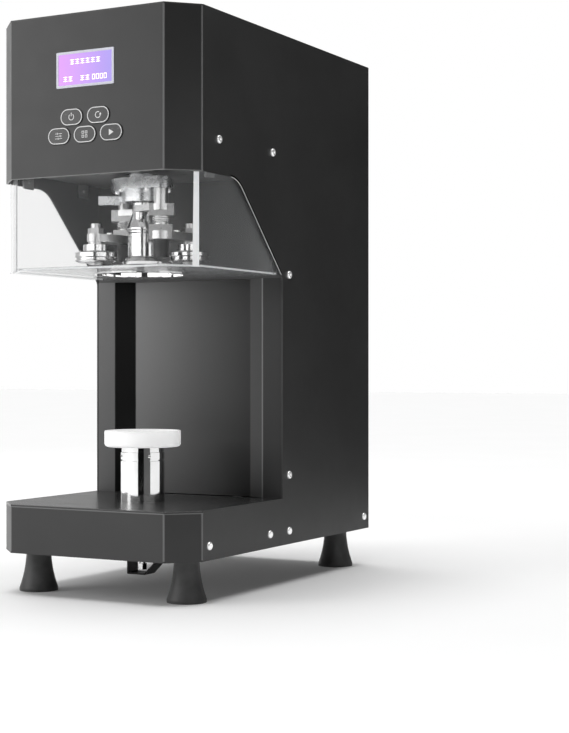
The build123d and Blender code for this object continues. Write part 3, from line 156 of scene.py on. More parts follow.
# How far a direction points to the bright side
bright_side = node(sky, "VectorMath")
bright_side.operation = "DOT_PRODUCT"
bright_side.inputs[1].default_value = (-0.93, 0.30, 0.20)
sky.links.new(sky_place.outputs["Generated"], bright_side.inputs[0])
side_light = ramp(
    sky, spread(sky, bright_side.outputs["Value"], 0.0, 1.0), 0.0, 1.0, grey(0.0), grey(1.0)
)
side_map = sky.nodes["Map Range"]
side_map.inputs["From Min"].default_value = -1.0
side_map.inputs["From Max"].default_value = 1.0
side_steps = side_light.color_ramp
side_steps.elements[0].position = 0.30
side_steps.elements[0].color = grey(0.07)
side_steps.elements[1].position = 0.80
side_steps.elements[1].color = grey(1.0)
for step_place, step_value in ((0.50, 0.16), (0.60, 0.55)):
    side_steps.elements.new(step_place).color = grey(step_value)
sky.links.new(side_light.outputs["Color"], sky_shader.inputs["Color"])
sky_shader.inputs["Strength"].default_value = 0.55
backdrop = node(sky, "Background", Strength=1.0)
backdrop.inputs["Color"].default_value = grey(1.0)
seen = sky.nodes.new("ShaderNodeLightPath")
sky_mix = sky.nodes.new("ShaderNodeMixShader")
sky.links.new(seen.outputs["Is Camera Ray"], sky_mix.inputs["Fac"])
sky.links.new(sky_shader.outputs["Background"], sky_mix.inputs[1])
sky.links.new(backdrop.outputs["Background"], sky_mix.inputs[2])
sky.links.new(sky_mix.outputs["Shader"], sky_out.inputs["Surface"])

soft_boxes = (
    ("key", (-2.1, -2.3, 1.5), (0.0, -0.1, 0.35), 1.1, 2.0, 26.0),
    ("rim", (-2.4, 1.4, 1.2), (0.0, 0.0, 0.4), 1.0, 2.0, 5.0),
)
for box_name, box_place, box_target, box_width, box_height, box_power in soft_boxes:
    light = bpy.data.lights.new(box_name, "AREA")
    light.shape = "RECTANGLE"
    light.size = box_width
    light.size_y = box_height
    light.energy = box_power
    lamp = link(light, box_name)
    lamp.location = box_place
    aim = Vector(box_target) - Vector(box_place)
    lamp.rotation_euler = aim.to_track_quat("-Z", "Y").to_euler()

# Dark and bright cards stand round the machine, as in a studio, and show only in its polished parts.
# Each has its two ends in degrees from the camera's side, its brightness, and its lower and upper edge.
cards = (
    ("card_front", -20.0, 11.0, 0.004, 0.001, 0.41),
    ("card_grey", 11.0, 45.0, 0.11, 0.001, 0.41),
    ("card_rear", 110.0, 176.0, 0.004, 0.001, 1.0),
    ("card_left", -85.0, -9.0, 2.2, 0.43, 0.68),
    ("card_middle", -9.0, 9.0, 0.03, 0.43, 0.68),
    ("card_right", 9.0, 70.0, 1.7, 0.43, 0.68),
)
card_reach = 1.15
camera_side = atan2(-0.880, 0.475)
for card_name, card_start, card_end, card_value, card_low, card_high in cards:
    card_material, tree, shader, place = new_material(card_name)
    shader.inputs["Base Color"].default_value = grey(0.0)
    shader.inputs["Specular IOR Level"].default_value = 0.0
    shader.inputs["Emission Color"].default_value = grey(1.0)
    shader.inputs["Emission Strength"].default_value = card_value
    card_mesh = bpy.data.meshes.new(card_name)
    card_steps = 12
    card_points = []
    for step in range(card_steps + 1):
        card_angle = camera_side + radians(card_start + (card_end - card_start) * step / card_steps)
        card_x = card_reach * cos(card_angle)
        card_y = card_reach * sin(card_angle) - 0.12
        card_points += [(card_x, card_y, card_low), (card_x, card_y, card_high)]
    card_faces = [(2 * step, 2 * step + 2, 2 * step + 3, 2 * step + 1) for step in range(card_steps)]
    card_mesh.from_pydata(card_points, [], card_faces)
    card_mesh.materials.append(card_material)
    card = link(card_mesh, card_name)
    card.visible_camera = False
    card.visible_diffuse = False
    card.visible_shadow = False
    card.visible_transmission = False

overhead = bpy.data.lights.new("overhead", "SUN")
overhead.energy = 2.5
overhead.angle = radians(50)
link(overhead, "overhead")

# ---- Painted sheet metal casing
# Steel sheet, 2 mm, bent round the front corners and powder coated in dark grey satin with a fine grain.
# The panels are screwed to the frame inside. A paler strip of painted highlight runs up each front bend
# and along the front covers' cut edges.
paint_dark = grey(0.030)
paint_light = grey(0.037)
paint_grain = 0.00009  # height of the powder coat's grain
paint_dust = 900.0


def dress(material, slot_name, *names):
    """Gives CAD nodes this material."""
    for name in names:
        mesh = nodes[name].data
        mesh.materials.clear()
        mesh.materials.append(material)


def grain_bump(tree, shader, place, scale, depth, strength):
    """Fine raised grain on the whole surface."""
    grains = node(tree, "TexNoise", Scale=scale, Detail=2.0)
    tree.links.new(place, grains.inputs["Vector"])
    bump = node(tree, "Bump", Strength=strength, Distance=depth)
    tree.links.new(grains.outputs["Fac"], bump.inputs["Height"])
    tree.links.new(bump.outputs["Normal"], shader.inputs["Normal"])
    return bump


def powder_coat(name, low_color, high_color, low_rough, high_rough):
    """Satin powder coat: faint cloudiness, rubbed patches and a fine grain."""
    material, tree, shader, place = new_material(name)
    cloud = node(tree, "TexNoise", Scale=9.0, Detail=4.0)
    tree.links.new(place, cloud.inputs["Vector"])
    tint = ramp(tree, cloud.outputs["Fac"], 0.35, 0.65, low_color, high_color)
    tree.links.new(tint.outputs["Color"], shader.inputs["Base Color"])
    rubbed = node(tree, "TexNoise", Scale=34.0, Detail=5.0)
    tree.links.new(place, rubbed.inputs["Vector"])
    roughness = spread(tree, rubbed.outputs["Fac"], low_rough, high_rough)
    tree.links.new(roughness, shader.inputs["Roughness"])
    grain_bump(tree, shader, place, paint_dust, paint_grain, 0.35)
    return material


highlight_reach = 0.0006  # from a bend's corner, where the painted highlight is at full strength
highlight_end = 0.0018
highlight_value = 0.17


def paint_bend_highlights(material, bends, edge_low, edge_high):
    """Paints a highlight, a paler colour, over upright bends, given in plan, and between two heights at
    a cut edge.
    """
    tree = material.node_tree
    shader = tree.nodes["Principled BSDF"]
    axes = node(tree, "SeparateXYZ")
    tree.links.new(tree.nodes["Texture Coordinate"].outputs["Object"], axes.inputs["Vector"])
    half = node(tree, "Math")
    half.operation = "ABSOLUTE"
    tree.links.new(axes.outputs["X"], half.inputs[0])
    plan = node(tree, "CombineXYZ")
    tree.links.new(half.outputs["Value"], plan.inputs["X"])
    tree.links.new(axes.outputs["Y"], plan.inputs["Y"])
    # Each of these masks is a painted highlight along one bend
    thin = []
    for bend_x, bend_y in bends:
        away = node(tree, "VectorMath")
        away.operation = "DISTANCE"
        away.inputs[1].default_value = (bend_x, bend_y, 0.0)
        tree.links.new(plan.outputs["Vector"], away.inputs[0])
        near = node(tree, "MapRange", From_Min=highlight_reach, From_Max=highlight_end, To_Min=1.0, To_Max=0.0)
        tree.links.new(away.outputs["Value"], near.inputs["Value"])
        thin.append(near.outputs["Result"])
    level = node(tree, "Math")
    level.operation = "COMPARE"
    level.inputs[1].default_value = (edge_low + edge_high) / 2
    level.inputs[2].default_value = (edge_high - edge_low) / 2
    tree.links.new(axes.outputs["Z"], level.inputs[0])
    most = level.outputs["Value"]
    for share in thin:
        larger = node(tree, "Math")
        larger.operation = "MAXIMUM"
        tree.links.new(most, larger.inputs[0])
        tree.links.new(share, larger.inputs[1])
        most = larger.outputs["Value"]
    mix = tree.nodes.new("ShaderNodeMix")
    mix.data_type = "RGBA"
    coat = shader.inputs["Base Color"].links[0].from_socket
    tree.links.new(most, mix.inputs["Factor"])
    tree.links.new(coat, mix.inputs[6])
    mix.inputs[7].default_value = grey(highlight_value)
    tree.links.new(mix.outputs[2], shader.inputs["Base Color"])


casing_paint = powder_coat("casing_paint", paint_dark, paint_light, 0.34, 0.46)
dress(
    casing_paint, "casing",
    "side_panel_left", "side_panel_right", "top_cover", "rear_cover", "base_bottom_plate",
)
front_bends = ((0.112, -0.245), (0.145, -0.212))
head_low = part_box("head_front_cover")[0]
head_paint = powder_coat("head_paint", grey(0.013), grey(0.017), 0.34, 0.46)
# Painted highlights on the front bends and along the cover's lower edge
paint_bend_highlights(head_paint, front_bends, head_low.z - 0.001, head_low.z + 0.0009)
dress(head_paint, "casing", "head_front_cover")
base_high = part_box("base_front_cover")[1]
base_paint = powder_coat("base_paint", paint_dark, paint_light, 0.34, 0.46)
# Painted highlights on the front bends and along the cover's upper edge
paint_bend_highlights(base_paint, front_bends, base_high.z - 0.0012, base_high.z + 0.001)
dress(base_paint, "casing", "base_front_cover")
deck_paint = powder_coat("deck_paint", grey(0.034), grey(0.042), 0.20, 0.30)
dress(deck_paint, "casing", "base_top_plate")

# ---- Column panel
# One satin sheet folded back at both sides into a shallow recess. Its colour holds painted light: paler
# towards the left where the light falls, painted shade that leaves the left folded strip nearly black,
# the right one painted lighter as lit, with a thin painted highlight at its edge.
panel_low, panel_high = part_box("column_panel")
panel_paint, tree, shader, place = new_material("panel_paint")
panel_grain = node(tree, "TexNoise", Scale=40.0, Detail=4.0)
tree.links.new(place, panel_grain.inputs["Vector"])
panel_axes = node(tree, "SeparateXYZ")
tree.links.new(place, panel_axes.inputs["Vector"])
panel_place = node(tree, "MapRange", From_Min=panel_low.x, From_Max=panel_high.x)
tree.links.new(panel_axes.outputs["X"], panel_place.inputs["Value"])
wavering = node(tree, "Math")
wavering.operation = "MULTIPLY_ADD"
wavering.inputs[1].default_value = 0.002
tree.links.new(panel_grain.outputs["Fac"], wavering.inputs[0])
tree.links.new(panel_place.outputs["Result"], wavering.inputs[2])
# Painted light across the panel's width, held in the ramp's steps below
panel_light_tint = ramp(tree, wavering.outputs["Value"], 0.0, 1.0, grey(0.150), grey(0.042))
panel_light_ramp = panel_light_tint.color_ramp
panel_light_steps = (
    (0.094, 0.14), (0.098, 0.0010), (0.184, 0.0010), (0.188, 0.22), (0.55, 0.095), (0.80, 0.040),
    (0.814, 0.040), (0.818, 0.100), (0.900, 0.085), (0.903, 0.26), (0.907, 0.26), (0.910, 0.048),
)
for step_place, step_value in panel_light_steps:
    panel_light_ramp.elements.new(step_place).color = grey(step_value)
tree.links.new(panel_light_tint.outputs["Color"], shader.inputs["Base Color"])
tree.links.new(spread(tree, panel_grain.outputs["Fac"], 0.30, 0.42), shader.inputs["Roughness"])
grain_bump(tree, shader, place, paint_dust, paint_grain, 0.3)
shader.inputs["Specular IOR Level"].default_value = 0.2
dress(panel_paint, "casing", "column_panel")

# ---- Back wall of the sealing chamber
# A plain sheet across the machine behind the sealing head, coated like the casing but a little lighter.
# It is held between the side panels, above the column.
chamber_paint = powder_coat("chamber_paint", grey(0.05), grey(0.06), 0.40, 0.50)
dress(chamber_paint, "casing_inner", "chamber_back_wall")

# ---- Feet
# Four flared feet of black rubber, moulded, each on a bolt through the bottom plate.
# Their skin has a faint grey bloom.
rubber, tree, shader, place = mottled(
    "foot_rubber", 60.0, 6.0, (0.40, 0.70), (grey(0.050), grey(0.080)), (0.38, 0.62),
)
grain_bump(tree, shader, place, 700.0, 0.0001, 0.3)
dress(rubber, "rubber_black", "rubber_feet")

# ---- Screws, bolts and bare steel of the frame
# Button head screws of stainless steel hold the side panels to the rails of the frame.
# The bolts inside are zinc plated, and the rails, plate and bridge are drawn steel left bare.


def drawn_steel(name, low_color, high_color, low_rough, high_rough, grain_scale):
    """Bare steel with fine drawn lines along Z and uneven gloss."""
    material, tree, shader, place = new_material(name)
    stretch = node(tree, "Mapping")
    stretch.inputs["Scale"].default_value = grain_scale
    tree.links.new(place, stretch.inputs["Vector"])
    lines = node(tree, "TexNoise", Scale=1.0, Detail=3.0)
    tree.links.new(stretch.outputs["Vector"], lines.inputs["Vector"])
    tint = ramp(tree, lines.outputs["Fac"], 0.3, 0.7, low_color, high_color)
    tree.links.new(tint.outputs["Color"], shader.inputs["Base Color"])
    tree.links.new(
        spread(tree, lines.outputs["Fac"], low_rough, high_rough), shader.inputs["Roughness"]
    )
    shader.inputs["Metallic"].default_value = 1.0
    bump = node(tree, "Bump", Strength=0.15, Distance=0.00004)
    tree.links.new(lines.outputs["Fac"], bump.inputs["Height"])
    tree.links.new(bump.outputs["Normal"], shader.inputs["Normal"])
    return material


screw_steel_glow = drawn_steel("screw_steel_glow", grey(0.72), grey(0.88), 0.16, 0.30, (900, 900, 900))
# A faint glow, painted light, stands in for the glints on the round heads
screw_glow_shader = screw_steel_glow.node_tree.nodes["Principled BSDF"]
screw_glow_shader.inputs["Emission Color"].default_value = grey(1.0)
screw_glow_shader.inputs["Emission Strength"].default_value = 0.30
dress(screw_steel_glow, "bare_steel", "casing_screws")
zinc_plate = drawn_steel(
    "zinc_plate", (0.56, 0.58, 0.60, 1), (0.70, 0.70, 0.68, 1), 0.28, 0.42, (300, 300, 300)
)
dress(zinc_plate, "zinc", "frame_bolts", "shift_yoke")
frame_steel = drawn_steel("frame_steel", grey(0.46), grey(0.56), 0.34, 0.48, (20, 20, 400))
dress(frame_steel, "bare_steel", "frame_rails", "head_frame_plate", "spindle_bridge")

# ---- Clear guard
# Two pieces of clear acrylic: a wall bent round the front and a floor plate glued inside its foot.
# The sawn edges are polished; thin glowing strips along them and up the bends are painted highlights for
# the light they catch.
guard_clear, tree, shader, place = mottled(
    "guard_clear", 22.0, 4.0, (0.35, 0.70), ((0.50, 0.51, 0.52, 1), (0.60, 0.61, 0.62, 1)), (0.02, 0.06),
)
shader.inputs["IOR"].default_value = 1.49
gloss = node(tree, "LayerWeight", Blend=0.12)
tree.links.new(spread(tree, gloss.outputs["Fresnel"], 0.035, 0.80), shader.inputs["Alpha"])
dress(guard_clear, "clear_guard", "guard_shell", "guard_floor")

# Its faint glow is painted light, for the highlights on the guard's polished edges and bends
painted_edge_highlight, tree, shader, place = mottled(
    "edge_highlight_glow", 300.0, 4.0, (0.3, 0.7), ((0.78, 0.80, 0.81, 1), (0.94, 0.95, 0.96, 1)), (0.12, 0.3),
)
shader.inputs["Emission Color"].default_value = grey(1.0)
shader.inputs["Emission Strength"].default_value = 0.18

guard_low, guard_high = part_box("guard_shell")
floor_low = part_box("guard_floor")[0]
corner_cut = 0.033
wall = 0.004
edge_height = 0.0022
edge_depth = 0.0006


def front_line(half_width, front, cut, back):
    """Plan of the chamfered front, from back right round to back left."""
    right = [(half_width, back), (half_width, front + cut), (half_width - cut, front)]
    return right + [(-x, y) for x, y in reversed(right)]


def ribbon(name, line, low, high, thickness, material, body):
    """A thin upright strip along a line in plan."""
    work = bmesh.new()
    inward = [Vector((x * (1 - thickness / abs(x)), y + thickness)) for x, y in line]
    rings = [
        [work.verts.new((*point, z)) for point in points]
        for points in (line, inward)
        for z in (low, high)
    ]
    outer_low, outer_high, inner_low, inner_high = rings
    for a, b in (
        (outer_low, outer_high), (outer_high, inner_high),
        (inner_high, inner_low), (inner_low, outer_low),
    ):
        for step in range(len(line) - 1):
            work.faces.new((a[step], a[step + 1], b[step + 1], b[step]))
    for end in (0, -1):
        work.faces.new((outer_low[end], outer_high[end], inner_high[end], inner_low[end]))
    settle(work, name, material, body)


inner_half = guard_high.x - wall - 0.0001
edge_line = front_line(
    inner_half, guard_low.y + wall + 0.0001, corner_cut + 0.0035, guard_high.y - 0.0005
)
edge_low = floor_low.z + (wall - edge_height) / 2
# A glowing strip along the floor plate's edge, a painted highlight
ribbon(
    "guard_floor_edge_highlight", edge_line, edge_low, edge_low + edge_height, edge_depth, painted_edge_highlight,
    "casing",
)


def slab(name, corners, normal, lift, thickness, material, body):
    """A thin flat piece: corners in order, raised off their plane by lift and then this thick."""
    work = bmesh.new()
    rings = [
        [work.verts.new(Vector(corner) + normal * height) for corner in corners]
        for height in (lift, lift + thickness)
    ]
    count = len(corners)
    for turn in range(count):
        after = (turn + 1) % count
        work.faces.new((rings[0][turn], rings[0][after], rings[1][after], rings[1][turn]))
    work.faces.new(rings[0])
    work.faces.new(rings[1])
    settle(work, name, material, body)


# Each heated bend of the wall carries a glowing strip, a painted highlight, from the floor up to the
# head
bend_cut = 0.0304
bend_near = 0.0012
bend_far = 0.0092
band_lift = 0.00008
band_depth = 0.0002
for side, side_name in ((1, "right"), (-1, "left")):
    bend = Vector((side * guard_high.x, guard_low.y + bend_cut, 0.0))
    along = Vector((-side, -1.0, 0.0)).normalized()
    outward = Vector((side, -1.0, 0.0)).normalized()
    low_level = Vector((0.0, 0.0, floor_low.z + 0.0005))
    high_level = Vector((0.0, 0.0, head_low.z - 0.0004))
    band = [
        bend + along * bend_near + low_level, bend + along * bend_far + low_level,
        bend + along * (bend_far - 0.0015) + high_level, bend + along * bend_near + high_level,
    ]
    slab(
        "guard_bend_highlight_" + side_name, band, outward, band_lift, band_depth, painted_edge_highlight,
        "casing",
    )

# ---- Cheek edges: painted shade and highlight
# A thin near-black strip, painted shade for the shadowed cut edge, lies on the slanted edge of each
# cheek of the casing, from the head down to the column. A narrow glowing strip, a painted highlight,
# runs along its inner side, where the guard meets it.
cheek_edge_shade, tree, shader, place = mottled(
    "cheek_edge_shade", 400.0, 4.0, (0.3, 0.7), (grey(0.001), grey(0.004)), (0.5, 0.7),
)
shader.inputs["Specular IOR Level"].default_value = 0.1
lip_width = 0.0024
highlight_width = 0.0005
lip_lift = 0.00002
lip_depth = 0.0003
lip_radius = 0.040  # of the cheek's upper corner
lip_centre = (-0.14607, 0.4730)
lip_foot = (-0.0175, 0.4010)
side_half = 0.145


def lip_line(offset):
    """The cheek's edge as (y, z) points, from its round corner to its foot, an offset into the sheet."""
    points = []
    for step in range(7):
        angle = radians(90 - 45 * step / 6)
        reach = lip_radius + offset
        points.append((lip_centre[0] + reach * cos(angle), lip_centre[1] + reach * sin(angle)))
    diagonal = offset * cos(pi / 4)
    points.append((lip_foot[0] + diagonal, lip_foot[1] + diagonal))
    return points


for side, side_name in ((1, "right"), (-1, "left")):
    for strip_name, near, far, strip_material, strip_slot in (
        ("lip_", 0.0, lip_width, cheek_edge_shade, "rubber_black"),
        ("cheek_edge_highlight_", -highlight_width, 0.0, painted_edge_highlight, "clear_guard"),
    ):
        outline = lip_line(near) + list(reversed(lip_line(far)))
        corners = [(side * side_half, y, z) for y, z in outline]
        outward = Vector((side, 0.0, 0.0))
        slab(
            strip_name + side_name, corners, outward, lip_lift, lip_depth, strip_material,
            "casing",
        )

# ---- Chrome lift column and guide ring
# Turned and mirror plated steel: the tube, its lock collar, the stem with its neck, and the guide ring.
chrome, tree, shader, place = mottled(
    "mirror_plate", 45.0, 5.0, (0.35, 0.7), (grey(0.86), grey(0.93)), (0.035, 0.09),
)
shader.inputs["Metallic"].default_value = 1.0
dress(chrome, "mirror_chrome", "lift_tube", "lock_collar", "tray_stem", "guide_ring")

# ---- Tray
# A moulded disc of frosted translucent plastic with a raised rim, pressed on the stem's spigot.
tray_frost, tree, shader, place = mottled(
    "tray_frost", 85.0, 6.0, (0.35, 0.7), (grey(0.90), grey(0.97)), (0.30, 0.46),
)
shader.inputs["Subsurface Weight"].default_value = 0.6
shader.inputs["Subsurface Radius"].default_value = (1.0, 1.0, 1.0)
shader.inputs["Subsurface Scale"].default_value = 0.012
# A faint glow, painted light, brightens the frosted plastic
shader.inputs["Emission Color"].default_value = grey(1.0)
shader.inputs["Emission Strength"].default_value = 0.40
grain_bump(tree, shader, place, 500.0, 0.0001, 0.35)
dress(tray_frost, "frosted_tray", "tray_disc")

# ---- Turned steel of the sealing tools
# The chuck, rolls, followers, cone, bearings and screw are turned and ground tool steel.
# Each part shows fine rings from the lathe round its own axis.


def turned_steel(name, centre, low_color, high_color, low_rough, high_rough):
    """Steel turned about an upright axis: fine level rings on its sides and round ones on its ends."""
    material, tree, shader, place = new_material(name)
    move = node(tree, "Mapping")
    move.inputs["Location"].default_value = (-centre[0], -centre[1], 0.0)
    tree.links.new(place, move.inputs["Vector"])
    rings = node(tree, "TexWave", Scale=260.0, Distortion=0.6, Detail=2.0)
    rings.wave_type = "RINGS"
    rings.rings_direction = "Z"
    tree.links.new(move.outputs["Vector"], rings.inputs["Vector"])
    levels = node(tree, "TexWave", Scale=300.0, Distortion=0.4, Detail=2.0)
    levels.bands_direction = "Z"
    tree.links.new(move.outputs["Vector"], levels.inputs["Vector"])
    cuts = node(tree, "Math")
    cuts.operation = "ADD"
    tree.links.new(rings.outputs["Fac"], cuts.inputs[0])
    tree.links.new(levels.outputs["Fac"], cuts.inputs[1])
    stain = node(tree, "TexNoise", Scale=70.0, Detail=4.0)
    tree.links.new(place, stain.inputs["Vector"])
    tint = ramp(tree, stain.outputs["Fac"], 0.3, 0.7, low_color, high_color)
    tree.links.new(tint.outputs["Color"], shader.inputs["Base Color"])
    tree.links.new(
        spread(tree, stain.outputs["Fac"], low_rough, high_rough), shader.inputs["Roughness"]
    )
    shader.inputs["Metallic"].default_value = 1.0
    bump = node(tree, "Bump", Strength=0.12, Distance=0.00005)
    tree.links.new(cuts.outputs["Value"], bump.inputs["Height"])
    tree.links.new(bump.outputs["Normal"], shader.inputs["Normal"])
    return material


def middle(name):
    """The centre of a CAD node, in plan."""
    low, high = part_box(name)
    return ((low.x + high.x) / 2, (low.y + high.y) / 2)


chuck_axis = middle("seaming_chuck")
tool_steel = turned_steel("tool_steel", chuck_axis, grey(0.70), grey(0.84), 0.12, 0.24)
dress(
    tool_steel, "turned_steel",
    "chuck_spindle", "seaming_chuck", "cam_cone", "bearing_outer_rings", "bearing_inner_rings",
    "lead_screw",
)
for tool in (
    "seaming_roll_first", "seaming_roll_second", "cam_follower_first", "cam_follower_second",
    "motor_pinion",
):
    steel = turned_steel(tool + "_steel", middle(tool), grey(0.66), grey(0.82), 0.12, 0.26)
    dress(steel, "turned_steel", tool)

# ---- Turret, housing and pulleys
# Aluminium, machined all over and left bright. The arms are cast, then faced at their bosses.
alloy = turned_steel(
    "machined_alloy", chuck_axis, (0.70, 0.71, 0.72, 1), (0.82, 0.83, 0.84, 1), 0.20, 0.34
)
dress(alloy, "alloy", "turret_spindle", "spindle_housing", "turret_pulley", "cone_actuator")
motor_axis = middle("motor_pulley")
motor_alloy = turned_steel(
    "motor_alloy", motor_axis, (0.66, 0.67, 0.68, 1), (0.78, 0.79, 0.8, 1), 0.22, 0.36
)
dress(motor_alloy, "alloy", "motor_pulley")

cast_alloy, tree, shader, place = new_material("cast_alloy")
skin = node(tree, "TexNoise", Scale=420.0, Detail=4.0)
tree.links.new(place, skin.inputs["Vector"])
cast_tint = ramp(tree, skin.outputs["Fac"], 0.3, 0.7, grey(0.62), grey(0.78))
tree.links.new(cast_tint.outputs["Color"], shader.inputs["Base Color"])
tree.links.new(spread(tree, skin.outputs["Fac"], 0.22, 0.40), shader.inputs["Roughness"])
shader.inputs["Metallic"].default_value = 1.0
cast_bump = node(tree, "Bump", Strength=0.3, Distance=0.0001)
tree.links.new(skin.outputs["Fac"], cast_bump.inputs["Height"])
tree.links.new(cast_bump.outputs["Normal"], shader.inputs["Normal"])
dress(cast_alloy, "cast_arm", "roll_arm_first", "roll_arm_second")

# ---- Springs and small screws of the sealing arms
# A wire spring round each pivot sleeve, a socket screw on each arm and six under the turret plate,
# all of bright steel. They turn and swing with the arm or turret that carries them.
spring_steel = drawn_steel("spring_steel", grey(0.74), grey(0.88), 0.14, 0.28, (500, 500, 500))


def coil(name, centre, radius, wire, low, high, turns, material, body):
    """A round wire wound about an upright axis."""
    work = bmesh.new()
    steps = 18 * turns
    sides = 7
    rings = []
    for step in range(steps + 1):
        angle = 2 * pi * turns * step / steps
        outward = Vector((cos(angle), sin(angle), 0.0))
        level = low + wire + (high - low - 2 * wire) * step / steps
        core = Vector((centre[0], centre[1], level)) + outward * radius
        ring = []
        for side in range(sides):
            lean = 2 * pi * side / sides
            ring.append(
                work.verts.new(core + outward * wire * cos(lean) + Vector((0, 0, wire * sin(lean))))
            )
        rings.append(ring)
    for first, second in zip(rings, rings[1:]):
        for side in range(sides):
            after = (side + 1) % sides
            work.faces.new((first[side], first[after], second[after], second[side]))
    work.faces.new(rings[0])
    work.faces.new(rings[-1])
    settle(work, name, material, body)


def socket_screws(name, places, level, up, radius, height, material, body):
    """Cylinder head screws with a six sided socket, standing up from a level or hanging below it."""
    work = bmesh.new()
    steps = 24
    flat = radius * 0.5
    # Foot, shoulder and crown of the head, then rim and floor of the socket
    head_rings = (
        (1.0, False, 0.0), (1.0, False, 0.85), (0.88, False, 1.0), (1.0, True, 1.0), (1.0, True, 0.4),
    )
    for x, y in places:
        rings = []
        for share, hexed, rise in head_rings:
            ring = []
            for step in range(steps):
                angle = 2 * pi * step / steps
                reach = radius * share
                if hexed:
                    reach = flat / cos(angle % (pi / 3) - pi / 6)
                point = (x + reach * cos(angle), y + reach * sin(angle), level + up * height * rise)
                ring.append(work.verts.new(point))
            rings.append(ring)
        for first, second in zip(rings, rings[1:]):
            for step in range(steps):
                after = (step + 1) % steps
                work.faces.new((first[step], first[after], second[after], second[step]))
        work.faces.new(rings[0])
        work.faces.new(rings[-1])
    settle(work, name, material, body)


spring_radius = 0.0099
spring_wire = 0.0009
spring_low = 0.4593  # on the boss of the lower arm
spring_high = 0.4697  # under the lever's clamp
arm_top = 0.4510
plate_under = 0.5050
plate_screw_orbit = 0.035
pivot_first = Vector((0.0433, -0.1440))
axis_plan = Vector(chuck_axis)
for tool, arm_body, pivot in (
    ("first", "arm_first", pivot_first), ("second", "arm_second", 2 * axis_plan - pivot_first),
):
    roll_plan = Vector(middle("seaming_roll_" + tool))
    coil(
        "arm_spring_" + tool, pivot, spring_radius, spring_wire, spring_low, spring_high, 4,
        spring_steel, arm_body,
    )
    screw_plan = pivot + (roll_plan - pivot) * 0.54
    socket_screws(
        "arm_screw_" + tool, [screw_plan], arm_top, 1, 0.0034, 0.0032,
        screw_steel_glow, arm_body,
    )
plate_screws = []
for turn in range(6):
    angle = radians(12 + 60 * turn)
    plate_screws.append(
        (axis_plan.x + plate_screw_orbit * cos(angle), axis_plan.y + plate_screw_orbit * sin(angle))
    )
socket_screws(
    "turret_screws", plate_screws, plate_under, -1, 0.0026, 0.0024, screw_steel_glow, "turret",
)

# ---- Blackened and black painted pieces
# Pivot pins and the screw's bracket are oil blackened steel, the guide plate and the motors are painted.
oil_black, tree, shader, place = mottled(
    "oil_black", 120.0, 5.0, (0.3, 0.7), (grey(0.018), grey(0.05)), (0.28, 0.5),
)
shader.inputs["Metallic"].default_value = 0.6
grain_bump(tree, shader, place, 600.0, 0.00006, 0.25)
dress(oil_black, "black_oxide", "pivot_pins", "screw_bracket", "lift_guide")
motor_paint = powder_coat("motor_paint", grey(0.02), grey(0.03), 0.30, 0.45)
dress(motor_paint, "motor_black", "drive_motor", "lift_motor")

# ---- Belt
# A black rubber V-belt with a cloth back. It runs round the motor's pulley and the turret's,
# inside the head.
belt_rubber, tree, shader, place = new_material("belt_rubber")
cloth = node(tree, "TexVoronoi", Scale=900.0)
tree.links.new(place, cloth.inputs["Vector"])
belt_tint = ramp(tree, cloth.outputs["Distance"], 0.0, 0.8, grey(0.012), grey(0.035))
tree.links.new(belt_tint.outputs["Color"], shader.inputs["Base Color"])
shader.inputs["Roughness"].default_value = 0.7
belt_bump = node(tree, "Bump", Strength=0.4, Distance=0.0002)
tree.links.new(cloth.outputs["Distance"], belt_bump.inputs["Height"])
tree.links.new(belt_bump.outputs["Normal"], shader.inputs["Normal"])
dress(belt_rubber, "rubber_black", "drive_belt")

# ---- Moulded black plastic, circuit boards and power supply
# The mains inlet and its rocker are set in the rear cover. Two green lacquered boards stand inside the
# casing, one of them behind the keys, with a power supply in an alloy case.
moulded, tree, shader, place = mottled(
    "moulded_black", 1400.0, 2.0, (0.3, 0.7), (grey(0.016), grey(0.026)), (0.35, 0.5),
)
grain_bump(tree, shader, place, 1500.0, 0.00005, 0.4)
dress(moulded, "black_plastic", "power_inlet", "power_rocker")

board, tree, shader, place = new_material("board_lacquer")
tracks = node(tree, "TexBrick", Scale=160.0, Mortar_Size=0.03)
tracks.inputs["Color1"].default_value = (0.012, 0.10, 0.05, 1)
tracks.inputs["Color2"].default_value = (0.016, 0.13, 0.06, 1)
tracks.inputs["Mortar"].default_value = (0.03, 0.22, 0.10, 1)
turn_up = node(tree, "Mapping")
turn_up.inputs["Rotation"].default_value = (pi / 2, 0.0, 0.0)
tree.links.new(place, turn_up.inputs["Vector"])
tree.links.new(turn_up.outputs["Vector"], tracks.inputs["Vector"])
tree.links.new(tracks.outputs["Color"], shader.inputs["Base Color"])
tree.links.new(spread(tree, tracks.outputs["Fac"], 0.25, 0.4), shader.inputs["Roughness"])
dress(board, "board_green", "front_board", "control_board")
supply_case = drawn_steel("supply_case", grey(0.55), grey(0.65), 0.3, 0.42, (30, 400, 30))
dress(supply_case, "alloy", "power_supply")

# ---- Display
# A white moulded bezel pressed into the cover, round a lit panel in pink and lilac.
# The panel's lines and digits are thin lit figures on its face.
bezel_white = mottled(
    "bezel_white", 800.0, 3.0, (0.3, 0.7), ((0.66, 0.67, 0.76, 1), (0.72, 0.73, 0.82, 1)), (0.25, 0.35),
)[0]
dress(bezel_white, "white_frame", "display_bezel")

